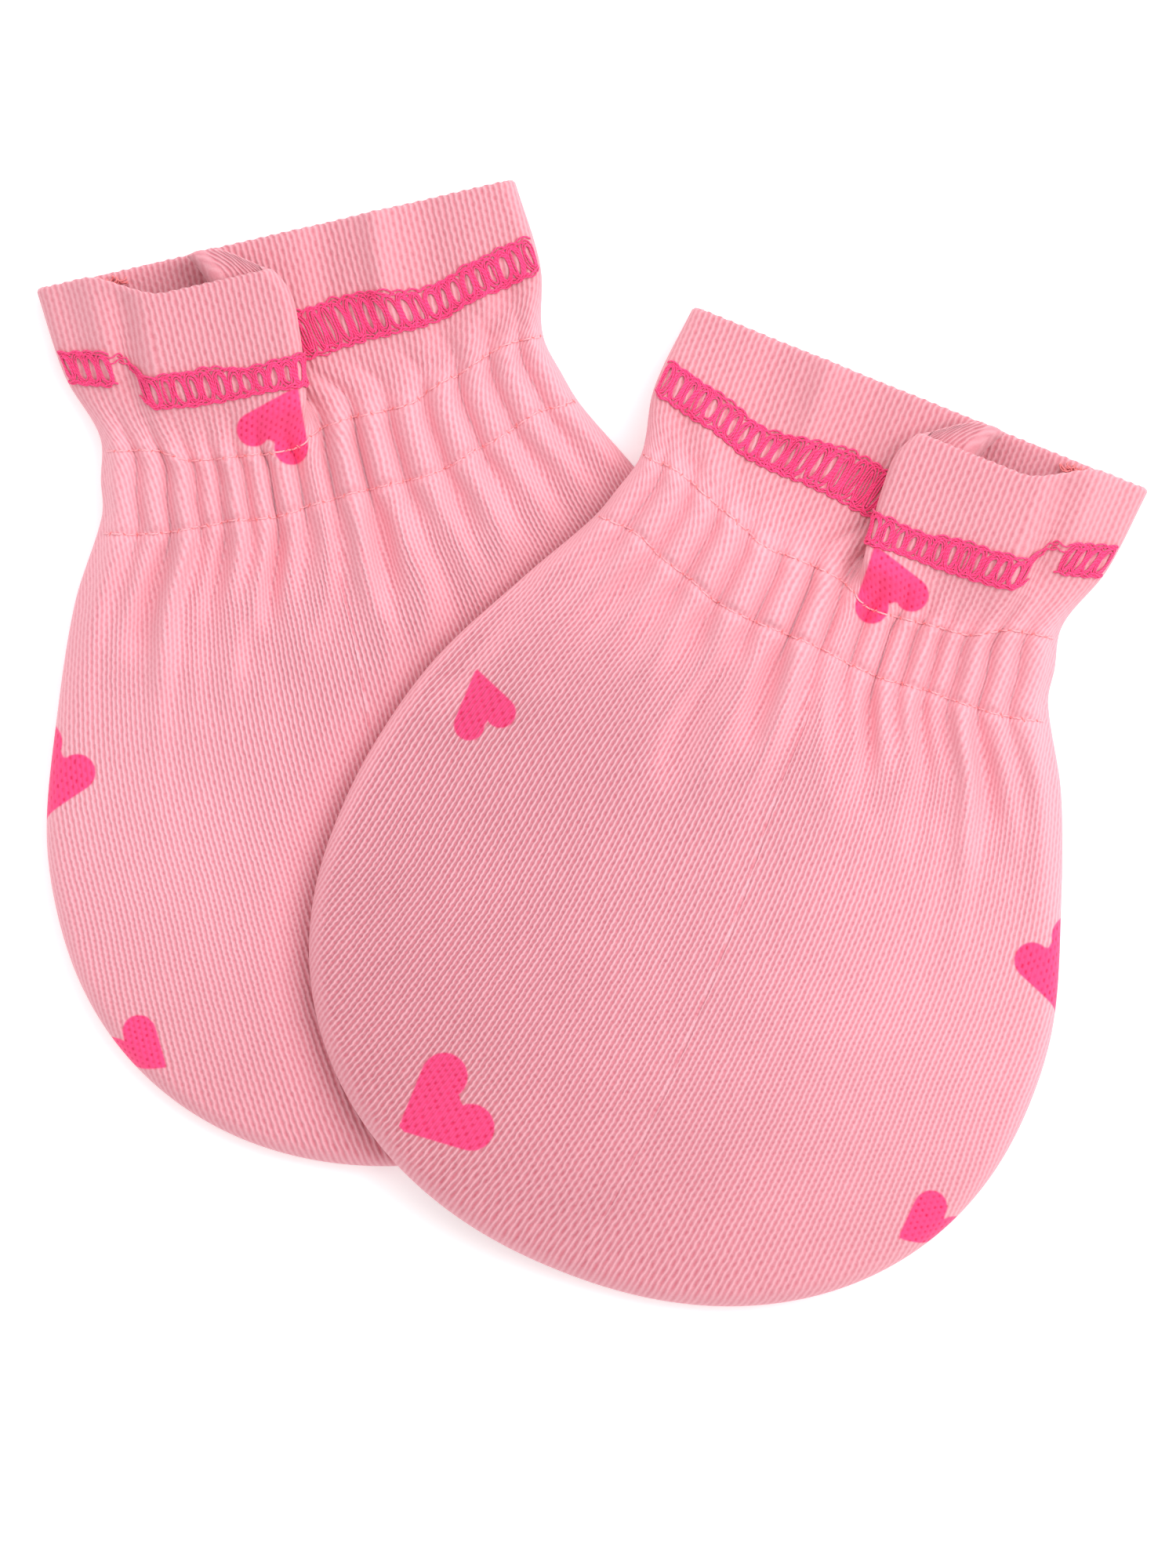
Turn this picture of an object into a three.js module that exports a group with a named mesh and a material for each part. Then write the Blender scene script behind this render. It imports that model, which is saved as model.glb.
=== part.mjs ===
import * as THREE from 'three';

// A pair of gathered knit mittens for a newborn, laid flat, the right one lying over the left one. All sizes are in
// millimetres and degrees. A mitten's own frame has its origin at mid wrist on the surface that it lies on, with +X
// across it, +Y towards the cuff and +Z up. The left mitten is the right one mirrored across X.

// Where the pair lies, from the middle of its box: mid wrist of each mitten, and the turn of its length.
const PLACES = {
  right: { x: 26.6, y: 15, turn: -22, mirror: 1 },
  left: { x: -28.9, y: 31.5, turn: 13, mirror: -1 },
};

// Outline of one mitten. The sides are a table from the cuff's top to the widest row, and the tip is a superellipse.
const SIDES = [
  { y: 23.5, left: -26.6, right: 26.1 },
  { y: 14, left: -27.2, right: 25.2 },
  { y: 6.9, left: -25.8, right: 23 },
  { y: 2.2, left: -26.9, right: 24 },
  { y: -1.4, left: -28.1, right: 24.7 },
  { y: -9.8, left: -32.5, right: 29.6 },
  { y: -21.7, left: -38.1, right: 34.4 },
  { y: -33, left: -40.8, right: 38.1 },
  { y: -42, left: -41.4, right: 39 },
];
const CUFF_TOP = SIDES[0].y;
const WIDEST_ROW = SIDES[SIDES.length - 1].y;
const TIP = { middle: -1.2, halfWidth: 40.2, depth: 35.6, roundness: 2.15 };

// The cloth, and how its two panels meet at the side seam. A rolled edge's spare is what its quarter turn takes up
// beyond its radius.
const WALL = 1;
const HEM_WALL = 1.3;
const HEM_FROM = 13;
const HEM_FULL = 15;
const SEAM_GAP = 0.3;
const SEAM_HEIGHT = 2;
const FRONT_ROLL = 1.7;
const BACK_ROLL = SEAM_HEIGHT - SEAM_GAP / 2;
const ROLL_SPARE = Math.PI / 2 - 1;

// Fullness of the front panel over its rolled edge, by rows from the cuff to the tip.
const FULLNESS = [
  { y: 23.5, height: 0.5 },
  { y: 8, height: 0.5 },
  { y: 3.8, height: 0.8 },
  { y: -2, height: 0.9 },
  { y: -14, height: 1.6 },
  { y: -34, height: 2 },
  { y: -60, height: 1.9 },
  { y: -78, height: 1.6 },
];
const FULLNESS_REACH = 7;

// Elastic casing at the wrist: its two stitch rows, how far its middle is pulled down, and the rows where that fades.
const CASING = { top: 6.8, bottom: 0.8, bow: 6, peak: 4, power: 2.4, fadeAbove: 1.5, fadeBelow: -25 };

// Gathers across the wrist: where each ridge crosses it, how high it stands and how far it runs down the body.
const GATHERS = [
  { x: -21.3, height: 1.2, reach: 5 },
  { x: -17.2, height: 1.3, reach: 7 },
  { x: -13.6, height: 1.3, reach: 6 },
  { x: -9.6, height: 1.6, reach: 9 },
  { x: -5.8, height: 1.7, reach: 8 },
  { x: -2.1, height: 1.8, reach: 13 },
  { x: 1.75, height: 1.3, reach: 8 },
  { x: 6.3, height: 1.6, reach: 12 },
  { x: 9.8, height: 1.6, reach: 9 },
  { x: 13.5, height: 1.4, reach: 14 },
  { x: 17, height: 1.3, reach: 8 },
  { x: 20.2, height: 1.1, reach: 10 },
];
const GATHER_ABOVE = 4.5;
const STITCH_PINCH = 0.15;
const STITCH_WIDTH = 1.1;

// The pleat in the front of the cuff. Across the wrist it takes up the cloth between from and to. Each turn is a half
// circle at the cuff's top, and both open out and end at the casing.
const PLEAT = {
  from: 0.5, to: 3, underRadius: 0.55, overRadius: 1.5, overlap: 5, opensAt: 5, fullAt: 15,
  edgeTop: -0.8, edgeBottom: 1, leastTurn: 0.3, leastFlat: 0.5, dropFrom: 0.2, dropTo: 0.8,
};
// The flap right of the pleat hangs lower than the back, and stands open as the cuff's mouth.
const FLAP = { drop: 3.6, rise: 3.9, fullAt: 19, dropEnds: 15.9, dropOut: 19.3, riseEnds: 15, riseOut: 25, settle: 8 };

// Longer folds of the front, as soft troughs (depth above zero) or ridges between two points. Each fades in and out
// over a share of its length.
const FOLD_ENDS = 0.25;
const FOLDS = [
  { x0: -31.2, y0: -6, x1: -36.8, y1: -28, depth: 0.7, width: 1.7 },
  { x0: 17.2, y0: 20, x1: 18.2, y1: 8, depth: 0.9, width: 1.3 },
  { x0: -24.5, y0: 13.5, x1: -19.5, y1: 6.5, depth: 0.5, width: 1.4 },
  { x0: -10.5, y0: 20, x1: -10, y1: 12, depth: -0.5, width: 2.2 },
];

// Wrist elastic, a flat ring inside the casing.
const ELASTIC = {
  halfWidth: 2.7, thick: 0.5, low: 1.3, high: 2.6, rise: 0.5, sideRoom: 2.4, straights: 13, turnSteps: 4,
};

// How the pair lies together: the left front is pressed down where the right one covers it, and the right one is
// lifted clear of it and comes down to the surface beside it.
const PRESS = { from: -6, to: 3 };
const LIFT = { height: 4.35, from: -19, to: 1 };

// Rows and columns of the wall's points. Columns are named by where they cross the wrist.
const CUFF_ROWS = [23.5, 21, 18.5, 16, 14, 12, 10, 8.2];
const WRIST_ROWS = [6.8, 5.2, 2.6, 0.8];
const BODY_ROWS = [-1.2, -4, -7.5, -11.5, -16, -22, -28, -35];
const SETTLED_ROW = -11.5;
const TIP_ANGLES = [0, 12, 24, 36, 47, 57, 65, 72, 78, 83, 87];
const BACK_CUFF_ROWS = [23.5, 19, 15, 13, 10];
const BACK_WRIST_ROWS = [6.8, 3.5, 0.8];
const BACK_BODY_ROWS = [-5, -11.5, -18, -26, -34];
const SEAM_LEFT = -26.5;
const SEAM_RIGHT = 23.5;
const ROLL_COLUMNS = [0, 0.7, 1.5, 2.4];
const PLEAT_COLUMNS = 10;
const BACK_COLUMNS = 15;
const OUTLINE_STEP = 2;
const OUTLINE_ABOVE = 16;
const TIP_STEP = 3;
const FLAT_TURN = 0.0001;

const KNIT = { colour: 0xf1a7b3, roughness: 0.92 };
const KNIT_BELOW = { colour: 0xe99dab, roughness: 0.92 };
const ELASTIC_WEAVE = { colour: 0xf7e3e6, roughness: 0.8 };

const radians = THREE.MathUtils.degToRad;
const smooth = (from, to, value) => {
  const t = THREE.MathUtils.clamp((value - from) / (to - from), 0, 1);
  return t * t * (3 - 2 * t);
};
const mix = THREE.MathUtils.lerp;

// A column of a table at height y, on a smooth curve through its rows. The curve leaves the last row straight down.
function lookup(table, column, y) {
  const last = table.length - 1;
  if (y >= table[0].y) return table[0][column];
  if (y <= table[last].y) return table[last][column];
  const i = table.findIndex((row) => row.y < y) - 1;
  const slope = (k) => {
    if (k === last) return 0;
    const a = table[Math.max(k - 1, 0)];
    const b = table[k + 1];
    return (b[column] - a[column]) / (b.y - a.y);
  };
  const span = table[i + 1].y - table[i].y;
  const t = (y - table[i].y) / span;
  const h = t * t * (3 - 2 * t);
  return table[i][column] * (1 - h) + table[i + 1][column] * h
    + slope(i) * span * t * (1 - t) * (1 - t) - slope(i + 1) * span * t * t * (1 - t);
}

// The mitten's two edges at height y, each moved out by spare.
function edges(y, spare = 0) {
  if (y >= WIDEST_ROW) {
    return { left: lookup(SIDES, 'left', y) - spare, right: lookup(SIDES, 'right', y) + spare };
  }
  const down = Math.min((WIDEST_ROW - y) / (TIP.depth + spare), 1);
  const half = (TIP.halfWidth + spare) * Math.pow(1 - Math.pow(down, TIP.roundness), 1 / TIP.roundness);
  return { left: TIP.middle - half, right: TIP.middle + half };
}

// The seam seen from above, down the left side, round the tip and up the right side.
function seamPath() {
  const path = [];
  for (let y = CUFF_TOP + OUTLINE_ABOVE; y > WIDEST_ROW; y -= OUTLINE_STEP) path.push([edges(y).left, y]);
  for (let angle = 180; angle >= 0; angle -= TIP_STEP) {
    const c = Math.cos(radians(angle));
    const s = Math.sin(radians(angle));
    const x = Math.sign(c) * Math.pow(Math.abs(c), 2 / TIP.roundness);
    path.push([TIP.middle + TIP.halfWidth * x, WIDEST_ROW - TIP.depth * Math.pow(Math.abs(s), 2 / TIP.roundness)]);
  }
  const firstUp = WIDEST_ROW + OUTLINE_STEP;
  for (let y = firstUp; y <= CUFF_TOP + OUTLINE_ABOVE; y += OUTLINE_STEP) path.push([edges(y).right, y]);
  return path;
}
const SEAM = seamPath();

// How far a point lies inside the seam, seen from above, and the direction inwards from the nearest stretch of it.
function inset(x, y) {
  let best = { distance: Infinity };
  for (let i = 0; i < SEAM.length - 1; i += 1) {
    const [ax, ay] = SEAM[i];
    const dx = SEAM[i + 1][0] - ax;
    const dy = SEAM[i + 1][1] - ay;
    const length = Math.hypot(dx, dy);
    const t = THREE.MathUtils.clamp(((x - ax) * dx + (y - ay) * dy) / (length * length), 0, 1);
    const px = x - ax - t * dx;
    const py = y - ay - t * dy;
    const distance = Math.hypot(px, py);
    if (distance < best.distance) {
      const nx = -dy / length;
      const ny = dx / length;
      best = { distance, nx, ny, depth: Math.sign(px * nx + py * ny) * distance };
    }
  }
  return best;
}

// The pleat's section at row v: how far its cloth turns, its three lengths, and where it starts.
function pleatAt(v) {
  const turn = Math.PI * smooth(PLEAT.opensAt, PLEAT.fullAt, v);
  const share = PLEAT.leastTurn + (1 - PLEAT.leastTurn) * (turn / Math.PI);
  const under = Math.PI * PLEAT.underRadius * share;
  const over = Math.PI * PLEAT.overRadius * share;
  const back = Math.max(0, -Math.cos(turn));
  const flat = PLEAT.leastFlat + back * PLEAT.overlap * smooth(PLEAT.opensAt, CUFF_TOP, v);
  const section = { turn, under, over, flat, length: under + flat + over };
  const edge = mix(PLEAT.edgeBottom, PLEAT.edgeTop, smooth(PLEAT.opensAt, CUFF_TOP, v));
  const quarter = Math.min(turn, Math.PI / 2);
  const reach = under * bend(turn, 0, turn).x + flat * Math.cos(turn) + over * bend(turn, turn, quarter).x;
  section.start = turn > 0 ? edge - reach : edge;
  section.end = section.start + pleatPoint(section, section.length).x;
  return section;
}

// A turn of constant bend from one heading to another, for cloth of length 1 that would turn through the whole angle.
function bend(whole, from, to) {
  if (whole < FLAT_TURN) return { x: to === from ? 0 : 1, z: 0 };
  const way = from <= to ? 1 : -1;
  return { x: (way * (Math.sin(to) - Math.sin(from))) / whole, z: (way * (Math.cos(from) - Math.cos(to))) / whole };
}

// A point of the pleat at distance s along its cloth: its offset from the pleat's start, and its heading.
function pleatPoint(section, s) {
  const { turn, under, over, flat } = section;
  if (turn < FLAT_TURN) return { x: s, z: 0, heading: 0 };
  const a = Math.min(s, under);
  const b = THREE.MathUtils.clamp(s - under, 0, flat);
  const c = THREE.MathUtils.clamp(s - under - flat, 0, over);
  const up = bend(turn, 0, (turn * a) / under);
  const heading = c > 0 ? turn * (1 - c / over) : (turn * a) / under;
  const down = bend(turn, turn, turn * (1 - c / over));
  return {
    x: under * up.x + b * Math.cos(turn) + over * down.x,
    z: under * up.z + b * Math.sin(turn) + over * down.z,
    heading,
  };
}

// How far the wrist's pull brings the cloth down at row v, for the column that crosses the wrist at x.
function pulledDown(x, v) {
  const side = x < CASING.peak ? SEAM_LEFT : SEAM_RIGHT;
  const away = Math.abs((x - CASING.peak) / (side - CASING.peak));
  const across = 1 - Math.pow(Math.min(away, 1), CASING.power);
  const above = Math.max(v - CASING.top, 0) / (CUFF_TOP - CASING.top);
  const below = smooth(CASING.fadeBelow, CASING.bottom, v);
  return CASING.bow * across * (1 - Math.pow(above, CASING.fadeAbove)) * below;
}

// Height of the gathers over the troughs between them.
function gatherHeight(x, v) {
  let height = 0;
  GATHERS.forEach((gather, i) => {
    const before = i > 0 ? GATHERS[i - 1].x : 2 * gather.x - GATHERS[i + 1].x;
    const after = i < GATHERS.length - 1 ? GATHERS[i + 1].x : 2 * gather.x - GATHERS[i - 1].x;
    const half = (x < gather.x ? gather.x - before : after - gather.x) / 2;
    const away = Math.abs(x - gather.x) / half;
    if (away >= 1) return;
    const ridge = Math.pow(Math.cos((away * Math.PI) / 2), 2);
    const below = Math.exp(-Math.pow(Math.max(CASING.bottom - v, 0) / gather.reach, 2));
    const above = 1 - smooth(CASING.top, CASING.top + GATHER_ABOVE, v);
    height += gather.height * ridge * below * above;
  });
  const pinched = (row) => Math.exp(-Math.pow((v - row) / STITCH_WIDTH, 2));
  return height * (1 - STITCH_PINCH * (pinched(CASING.top) + pinched(CASING.bottom)));
}

// Depth of the longer folds at a point seen from above.
function foldDepth(x, y) {
  return FOLDS.reduce((sum, fold) => {
    const dx = fold.x1 - fold.x0;
    const dy = fold.y1 - fold.y0;
    const length = Math.hypot(dx, dy);
    const along = ((x - fold.x0) * dx + (y - fold.y0) * dy) / length;
    const aside = ((x - fold.x0) * dy - (y - fold.y0) * dx) / length;
    const fade = FOLD_ENDS * length;
    const ends = smooth(0, fade, along) * (1 - smooth(length - fade, length, along));
    return sum + fold.depth * ends * Math.exp(-Math.pow(aside / fold.width, 2));
  }, 0);
}

// Rolls a point of the flat cut in over the seam: where it comes to lie, and the slope of the cloth there.
function rollIn(x, y, radius) {
  const { depth, nx, ny } = inset(x, y);
  const spare = radius * ROLL_SPARE;
  const cloth = THREE.MathUtils.clamp(depth + spare, 0, (radius * Math.PI) / 2);
  const tilt = cloth / radius;
  const flat = Math.max(depth, radius);
  const inward = tilt < Math.PI / 2 ? radius * (1 - Math.cos(tilt)) : flat;
  const move = inward - depth;
  return { x: x + nx * move, y: y + ny * move, depth: inward, tilt, nx, ny, height: radius * Math.sin(tilt) };
}

// Where the column that crosses the wrist at x lies in row v, on the flat cut, and the pleat's rise and heading there.
function frontPlan(x, v) {
  const edge = edges(v, FRONT_ROLL * ROLL_SPARE);
  const pleat = pleatAt(v);
  const settle = smooth(CASING.top, SETTLED_ROW, v);
  const share = (column) => mix(edge.left, edge.right, (column - SEAM_LEFT) / (SEAM_RIGHT - SEAM_LEFT));
  const start = mix(pleat.start, share(PLEAT.from), settle);
  const end = mix(pleat.end, share(PLEAT.to), settle);
  if (x <= PLEAT.from) {
    return { x: mix(edge.left, start, (x - SEAM_LEFT) / (PLEAT.from - SEAM_LEFT)), z: 0, heading: 0, over: 0, pleat };
  }
  if (x >= PLEAT.to) {
    const right = (x - PLEAT.to) / (SEAM_RIGHT - PLEAT.to);
    return { x: mix(end, edge.right, right), z: pleatPoint(pleat, pleat.length).z, heading: 0, over: 1, pleat };
  }
  const way = (x - PLEAT.from) / (PLEAT.to - PLEAT.from);
  const point = pleatPoint(pleat, way * pleat.length);
  const stretch = settle > 0 ? (end - start) / (pleat.end - pleat.start) : 1;
  const over = smooth(PLEAT.dropFrom, PLEAT.dropTo, way);
  return { x: start + point.x * stretch, z: point.z, heading: point.heading, over, pleat };
}

// How far the front stands over its rolled edge at row v, by the depth inside the seam.
const fullnessAt = (v, depth) => lookup(FULLNESS, 'height', v) * (1 - Math.exp(-depth / FULLNESS_REACH));

// A point of the front panel, pressed down by the given share, at the given depth inside its outer face.
function frontPoint(x, v, inside, pressAt) {
  const plan = frontPlan(x, v);
  const open = smooth(PLEAT.opensAt, FLAP.fullAt, v);
  const drop = FLAP.drop * plan.over * open * (1 - smooth(FLAP.dropEnds, FLAP.dropOut, plan.x));
  const y = v - pulledDown(x, v) - drop;
  const rolled = rollIn(plan.x, y, FRONT_ROLL);
  const press = pressAt(rolled.x, rolled.y);
  const full = fullnessAt(v, rolled.depth) * Math.sin(rolled.tilt);
  const settled = mix(plan.z, FLAP.rise * open, smooth(0, FLAP.settle, plan.x - plan.pleat.end) * plan.over);
  const raised = settled * (1 - smooth(FLAP.riseEnds, FLAP.riseOut, plan.x));
  const gathers = inside > 0 ? 0 : gatherHeight(x, v) * Math.sin(rolled.tilt);
  const relief = foldDepth(rolled.x, rolled.y) * Math.sin(rolled.tilt);
  const level = SEAM_HEIGHT + SEAM_GAP / 2 + rolled.height + raised;
  const face = level + (full + gathers - relief) * (1 - press);
  const upright = Math.sin(rolled.tilt);
  const sideways = Math.cos(rolled.tilt);
  return new THREE.Vector3(
    rolled.x + inside * (rolled.nx * sideways + Math.sin(plan.heading) * upright),
    rolled.y + inside * rolled.ny * sideways,
    face - inside * upright * Math.cos(plan.heading),
  );
}

// A point of the back panel, which lies flat on the surface and rolls up to the seam.
function backPoint(x, v, inside) {
  const edge = edges(v, BACK_ROLL * ROLL_SPARE);
  const rolled = rollIn(mix(edge.left, edge.right, (x - SEAM_LEFT) / (SEAM_RIGHT - SEAM_LEFT)), v, BACK_ROLL);
  const sideways = Math.cos(rolled.tilt);
  return new THREE.Vector3(
    rolled.x + inside * rolled.nx * sideways,
    rolled.y + inside * rolled.ny * sideways,
    BACK_ROLL - rolled.height + inside * Math.sin(rolled.tilt),
  );
}

const wallAt = (v) => mix(WALL, HEM_WALL, smooth(HEM_FROM, HEM_FULL, v));
const tipRows = (lowest) => TIP_ANGLES.map((angle) => mix(WIDEST_ROW, lowest, Math.sin(radians(angle))));

// A closed wall from a grid of points, outer face and inner face, which end in one point each at the tip's lowest row.
function wall(rows, lowest, columns, pointAt, facing) {
  const across = columns.length;
  const points = [];
  const faces = [];
  const layers = [0, 1].map((layer) => {
    const first = points.length;
    rows.forEach((v) => columns.forEach((x) => points.push(pointAt(x, v, layer * wallAt(v)))));
    points.push(pointAt(0, lowest, layer * WALL));
    return first;
  });
  const add = (a, b, c) => faces.push(facing > 0 ? [a, b, c] : [a, c, b]);
  const quad = (a, b, c, d) => {
    add(a, b, c);
    add(a, c, d);
  };
  layers.forEach((first, layer) => {
    const turned = layer === 0 ? (a, b, c) => add(a, b, c) : (a, b, c) => add(a, c, b);
    for (let i = 0; i < rows.length - 1; i += 1) {
      for (let j = 0; j < across - 1; j += 1) {
        const a = first + i * across + j;
        turned(a, a + across, a + across + 1);
        turned(a, a + across + 1, a + 1);
      }
    }
    const lastRow = first + (rows.length - 1) * across;
    const pole = first + rows.length * across;
    for (let j = 0; j < across - 1; j += 1) turned(lastRow + j, pole, lastRow + j + 1);
  });
  const [outer, inner] = layers;
  const poleOuter = outer + rows.length * across;
  const poleInner = inner + rows.length * across;
  for (let j = 0; j < across - 1; j += 1) quad(inner + j, outer + j, outer + j + 1, inner + j + 1);
  const rim = (column, way) => {
    const down = rows.map((_, i) => i * across + column);
    const outerRim = [...down.map((k) => outer + k), poleOuter];
    const innerRim = [...down.map((k) => inner + k), poleInner];
    for (let i = 0; i < outerRim.length - 1; i += 1) {
      if (way > 0) quad(innerRim[i], innerRim[i + 1], outerRim[i + 1], outerRim[i]);
      else quad(outerRim[i], outerRim[i + 1], innerRim[i + 1], innerRim[i]);
    }
  };
  rim(0, 1);
  rim(across - 1, -1);
  return { points, faces };
}

// The wrist elastic: a flat ring whose upper strand is pulled down with the front of the casing.
function elasticRing() {
  const middle = (CASING.top + CASING.bottom) / 2;
  const left = edges(middle).left + ELASTIC.sideRoom;
  const right = edges(middle).right - ELASTIC.sideRoom;
  const radius = (ELASTIC.high - ELASTIC.low) / 2;
  const centre = (ELASTIC.high + ELASTIC.low) / 2;
  const stations = [];
  for (let k = 0; k <= ELASTIC.straights; k += 1) {
    stations.push({ x: mix(left, right, k / ELASTIC.straights), angle: 90, front: 1 });
  }
  for (let k = 1; k < ELASTIC.turnSteps; k += 1) {
    stations.push({ x: right, angle: 90 - (180 * k) / ELASTIC.turnSteps, front: 0 });
  }
  for (let k = ELASTIC.straights; k >= 0; k -= 1) {
    stations.push({ x: mix(left, right, k / ELASTIC.straights), angle: -90, front: 0 });
  }
  for (let k = 1; k < ELASTIC.turnSteps; k += 1) {
    stations.push({ x: left, angle: -90 - (180 * k) / ELASTIC.turnSteps, front: 0 });
  }
  const points = [];
  stations.forEach((station) => {
    const share = (station.x - left) / (right - left);
    const wrist = mix(SEAM_LEFT, SEAM_RIGHT, share);
    const down = station.front * pulledDown(wrist, middle);
    const outwards = { x: Math.cos(radians(station.angle)), z: Math.sin(radians(station.angle)) };
    const full = station.front * ELASTIC.rise * fullnessAt(middle, Math.min(station.x - left, right - station.x));
    [[radius, -1], [radius, 1], [radius - ELASTIC.thick, 1], [radius - ELASTIC.thick, -1]].forEach(([r, side]) => {
      const y = middle - down + side * ELASTIC.halfWidth;
      points.push(new THREE.Vector3(station.x + r * outwards.x, y, centre + full + r * outwards.z));
    });
  });
  const faces = [];
  stations.forEach((_, i) => {
    const here = i * 4;
    const next = ((i + 1) % stations.length) * 4;
    for (let k = 0; k < 4; k += 1) {
      const l = (k + 1) % 4;
      faces.push([here + k, next + k, next + l], [here + k, next + l, here + l]);
    }
  });
  return { points, faces };
}

// Between the common frame and a mitten's own frame.
function toCommon(place, x, y) {
  const c = Math.cos(radians(place.turn));
  const s = Math.sin(radians(place.turn));
  return [place.x + place.mirror * x * c - y * s, place.y + place.mirror * x * s + y * c];
}
function toOwn(place, x, y) {
  const c = Math.cos(radians(place.turn));
  const s = Math.sin(radians(place.turn));
  const dx = x - place.x;
  const dy = y - place.y;
  return [place.mirror * (dx * c + dy * s), dy * c - dx * s];
}

// Depth inside the other mitten's outline, for a point of this one.
function depthInOther(place, other, x, y) {
  return inset(...toOwn(other, ...toCommon(place, x, y))).depth;
}

function makeMesh(name, shape, place, finish, liftAt) {
  const position = [];
  shape.points.forEach((p) => position.push(place.mirror * p.x, p.y, p.z + liftAt(p.x, p.y)));
  const index = shape.faces.flatMap((face) => (place.mirror > 0 ? face : [face[0], face[2], face[1]]));
  const geometry = new THREE.BufferGeometry();
  geometry.setAttribute('position', new THREE.Float32BufferAttribute(position, 3));
  geometry.setIndex(index);
  geometry.computeVertexNormals();
  const { colour, roughness } = finish;
  const mesh = new THREE.Mesh(geometry, new THREE.MeshStandardMaterial({ color: colour, roughness, metalness: 0 }));
  mesh.name = name;
  return mesh;
}

// Columns of the front: the rolled sides, a trough and a ridge for each gather, and the pleat.
function frontColumns() {
  const columns = [];
  ROLL_COLUMNS.forEach((room) => columns.push(SEAM_LEFT + room));
  GATHERS.forEach((gather, i) => {
    if (gather.x > PLEAT.from && gather.x < PLEAT.to) {
      const step = (PLEAT.to - PLEAT.from) / PLEAT_COLUMNS;
      for (let k = 0; k <= PLEAT_COLUMNS; k += 1) columns.push(PLEAT.from + k * step);
      return;
    }
    const before = i > 0 ? GATHERS[i - 1].x : 2 * gather.x - GATHERS[i + 1].x;
    columns.push((before + gather.x) / 2, gather.x);
  });
  [...ROLL_COLUMNS].reverse().forEach((room) => columns.push(SEAM_RIGHT - room));
  return columns;
}

function backColumns() {
  const columns = ROLL_COLUMNS.map((room) => SEAM_LEFT + room);
  const from = columns[columns.length - 1];
  const to = SEAM_RIGHT - ROLL_COLUMNS[ROLL_COLUMNS.length - 1];
  for (let k = 1; k < BACK_COLUMNS; k += 1) columns.push(mix(from, to, k / BACK_COLUMNS));
  [...ROLL_COLUMNS].reverse().forEach((room) => columns.push(SEAM_RIGHT - room));
  return columns;
}

function makeMitten(side) {
  const place = PLACES[side];
  const other = PLACES[side === 'right' ? 'left' : 'right'];
  const onTop = side === 'right';
  const pressAt = (x, y) => (onTop ? 0 : smooth(PRESS.from, PRESS.to, depthInOther(place, other, x, y)));
  const liftAt = (x, y) => (onTop ? LIFT.height * smooth(LIFT.from, LIFT.to, depthInOther(place, other, x, y)) : 0);
  const frontLowest = WIDEST_ROW - TIP.depth - FRONT_ROLL * ROLL_SPARE;
  const backLowest = WIDEST_ROW - TIP.depth - BACK_ROLL * ROLL_SPARE;
  const frontRows = [...CUFF_ROWS, ...WRIST_ROWS, ...BODY_ROWS, ...tipRows(frontLowest)];
  const backRows = [...BACK_CUFF_ROWS, ...BACK_WRIST_ROWS, ...BACK_BODY_ROWS, ...tipRows(backLowest)];
  const frontAt = (x, v, inside) => frontPoint(x, v, inside, pressAt);
  const front = wall(frontRows, frontLowest, frontColumns(), frontAt, 1);
  const back = wall(backRows, backLowest, backColumns(), backPoint, -1);
  const mitten = new THREE.Group();
  mitten.add(makeMesh(`${side}_front`, front, place, KNIT, liftAt));
  mitten.add(makeMesh(`${side}_back`, back, place, KNIT_BELOW, liftAt));
  mitten.add(makeMesh(`${side}_wrist_elastic`, elasticRing(), place, ELASTIC_WEAVE, liftAt));
  mitten.position.set(place.x, place.y, 0);
  mitten.rotation.z = radians(place.turn);
  return mitten;
}

const pair = new THREE.Group();
pair.add(makeMitten('right'), makeMitten('left'));
export default pair;
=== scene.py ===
"""Looks of a pair of gathered knit mittens for a newborn, laid flat, the right one lying over the left one.

The shapes repeat the solids' own sizes, in millimetres and in a mitten's own frame: its origin is at mid wrist on the
surface, with +X across the mitten, +Y towards the cuff and +Z up. The left mitten is the right one mirrored across X.
"""

import math

import bpy
import numpy as np
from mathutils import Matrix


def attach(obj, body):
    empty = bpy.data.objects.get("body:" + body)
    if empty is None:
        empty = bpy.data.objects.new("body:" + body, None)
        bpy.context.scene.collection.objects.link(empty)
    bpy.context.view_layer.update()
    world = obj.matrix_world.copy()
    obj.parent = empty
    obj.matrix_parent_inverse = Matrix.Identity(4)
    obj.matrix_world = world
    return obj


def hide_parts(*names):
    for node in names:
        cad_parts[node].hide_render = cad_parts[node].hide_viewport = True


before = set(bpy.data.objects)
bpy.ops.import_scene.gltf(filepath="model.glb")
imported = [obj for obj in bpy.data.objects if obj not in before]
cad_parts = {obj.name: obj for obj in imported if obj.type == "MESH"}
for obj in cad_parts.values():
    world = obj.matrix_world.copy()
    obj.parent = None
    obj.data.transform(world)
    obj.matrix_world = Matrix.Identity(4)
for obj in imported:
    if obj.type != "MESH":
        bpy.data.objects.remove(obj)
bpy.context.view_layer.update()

MM = 0.001

# Where the pair lies, from the middle of its box.
PLACES = {
    "right": {"x": 26.6, "y": 15.0, "turn": -22, "mirror": 1},
    "left": {"x": -28.9, "y": 31.5, "turn": 13, "mirror": -1},
}

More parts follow.
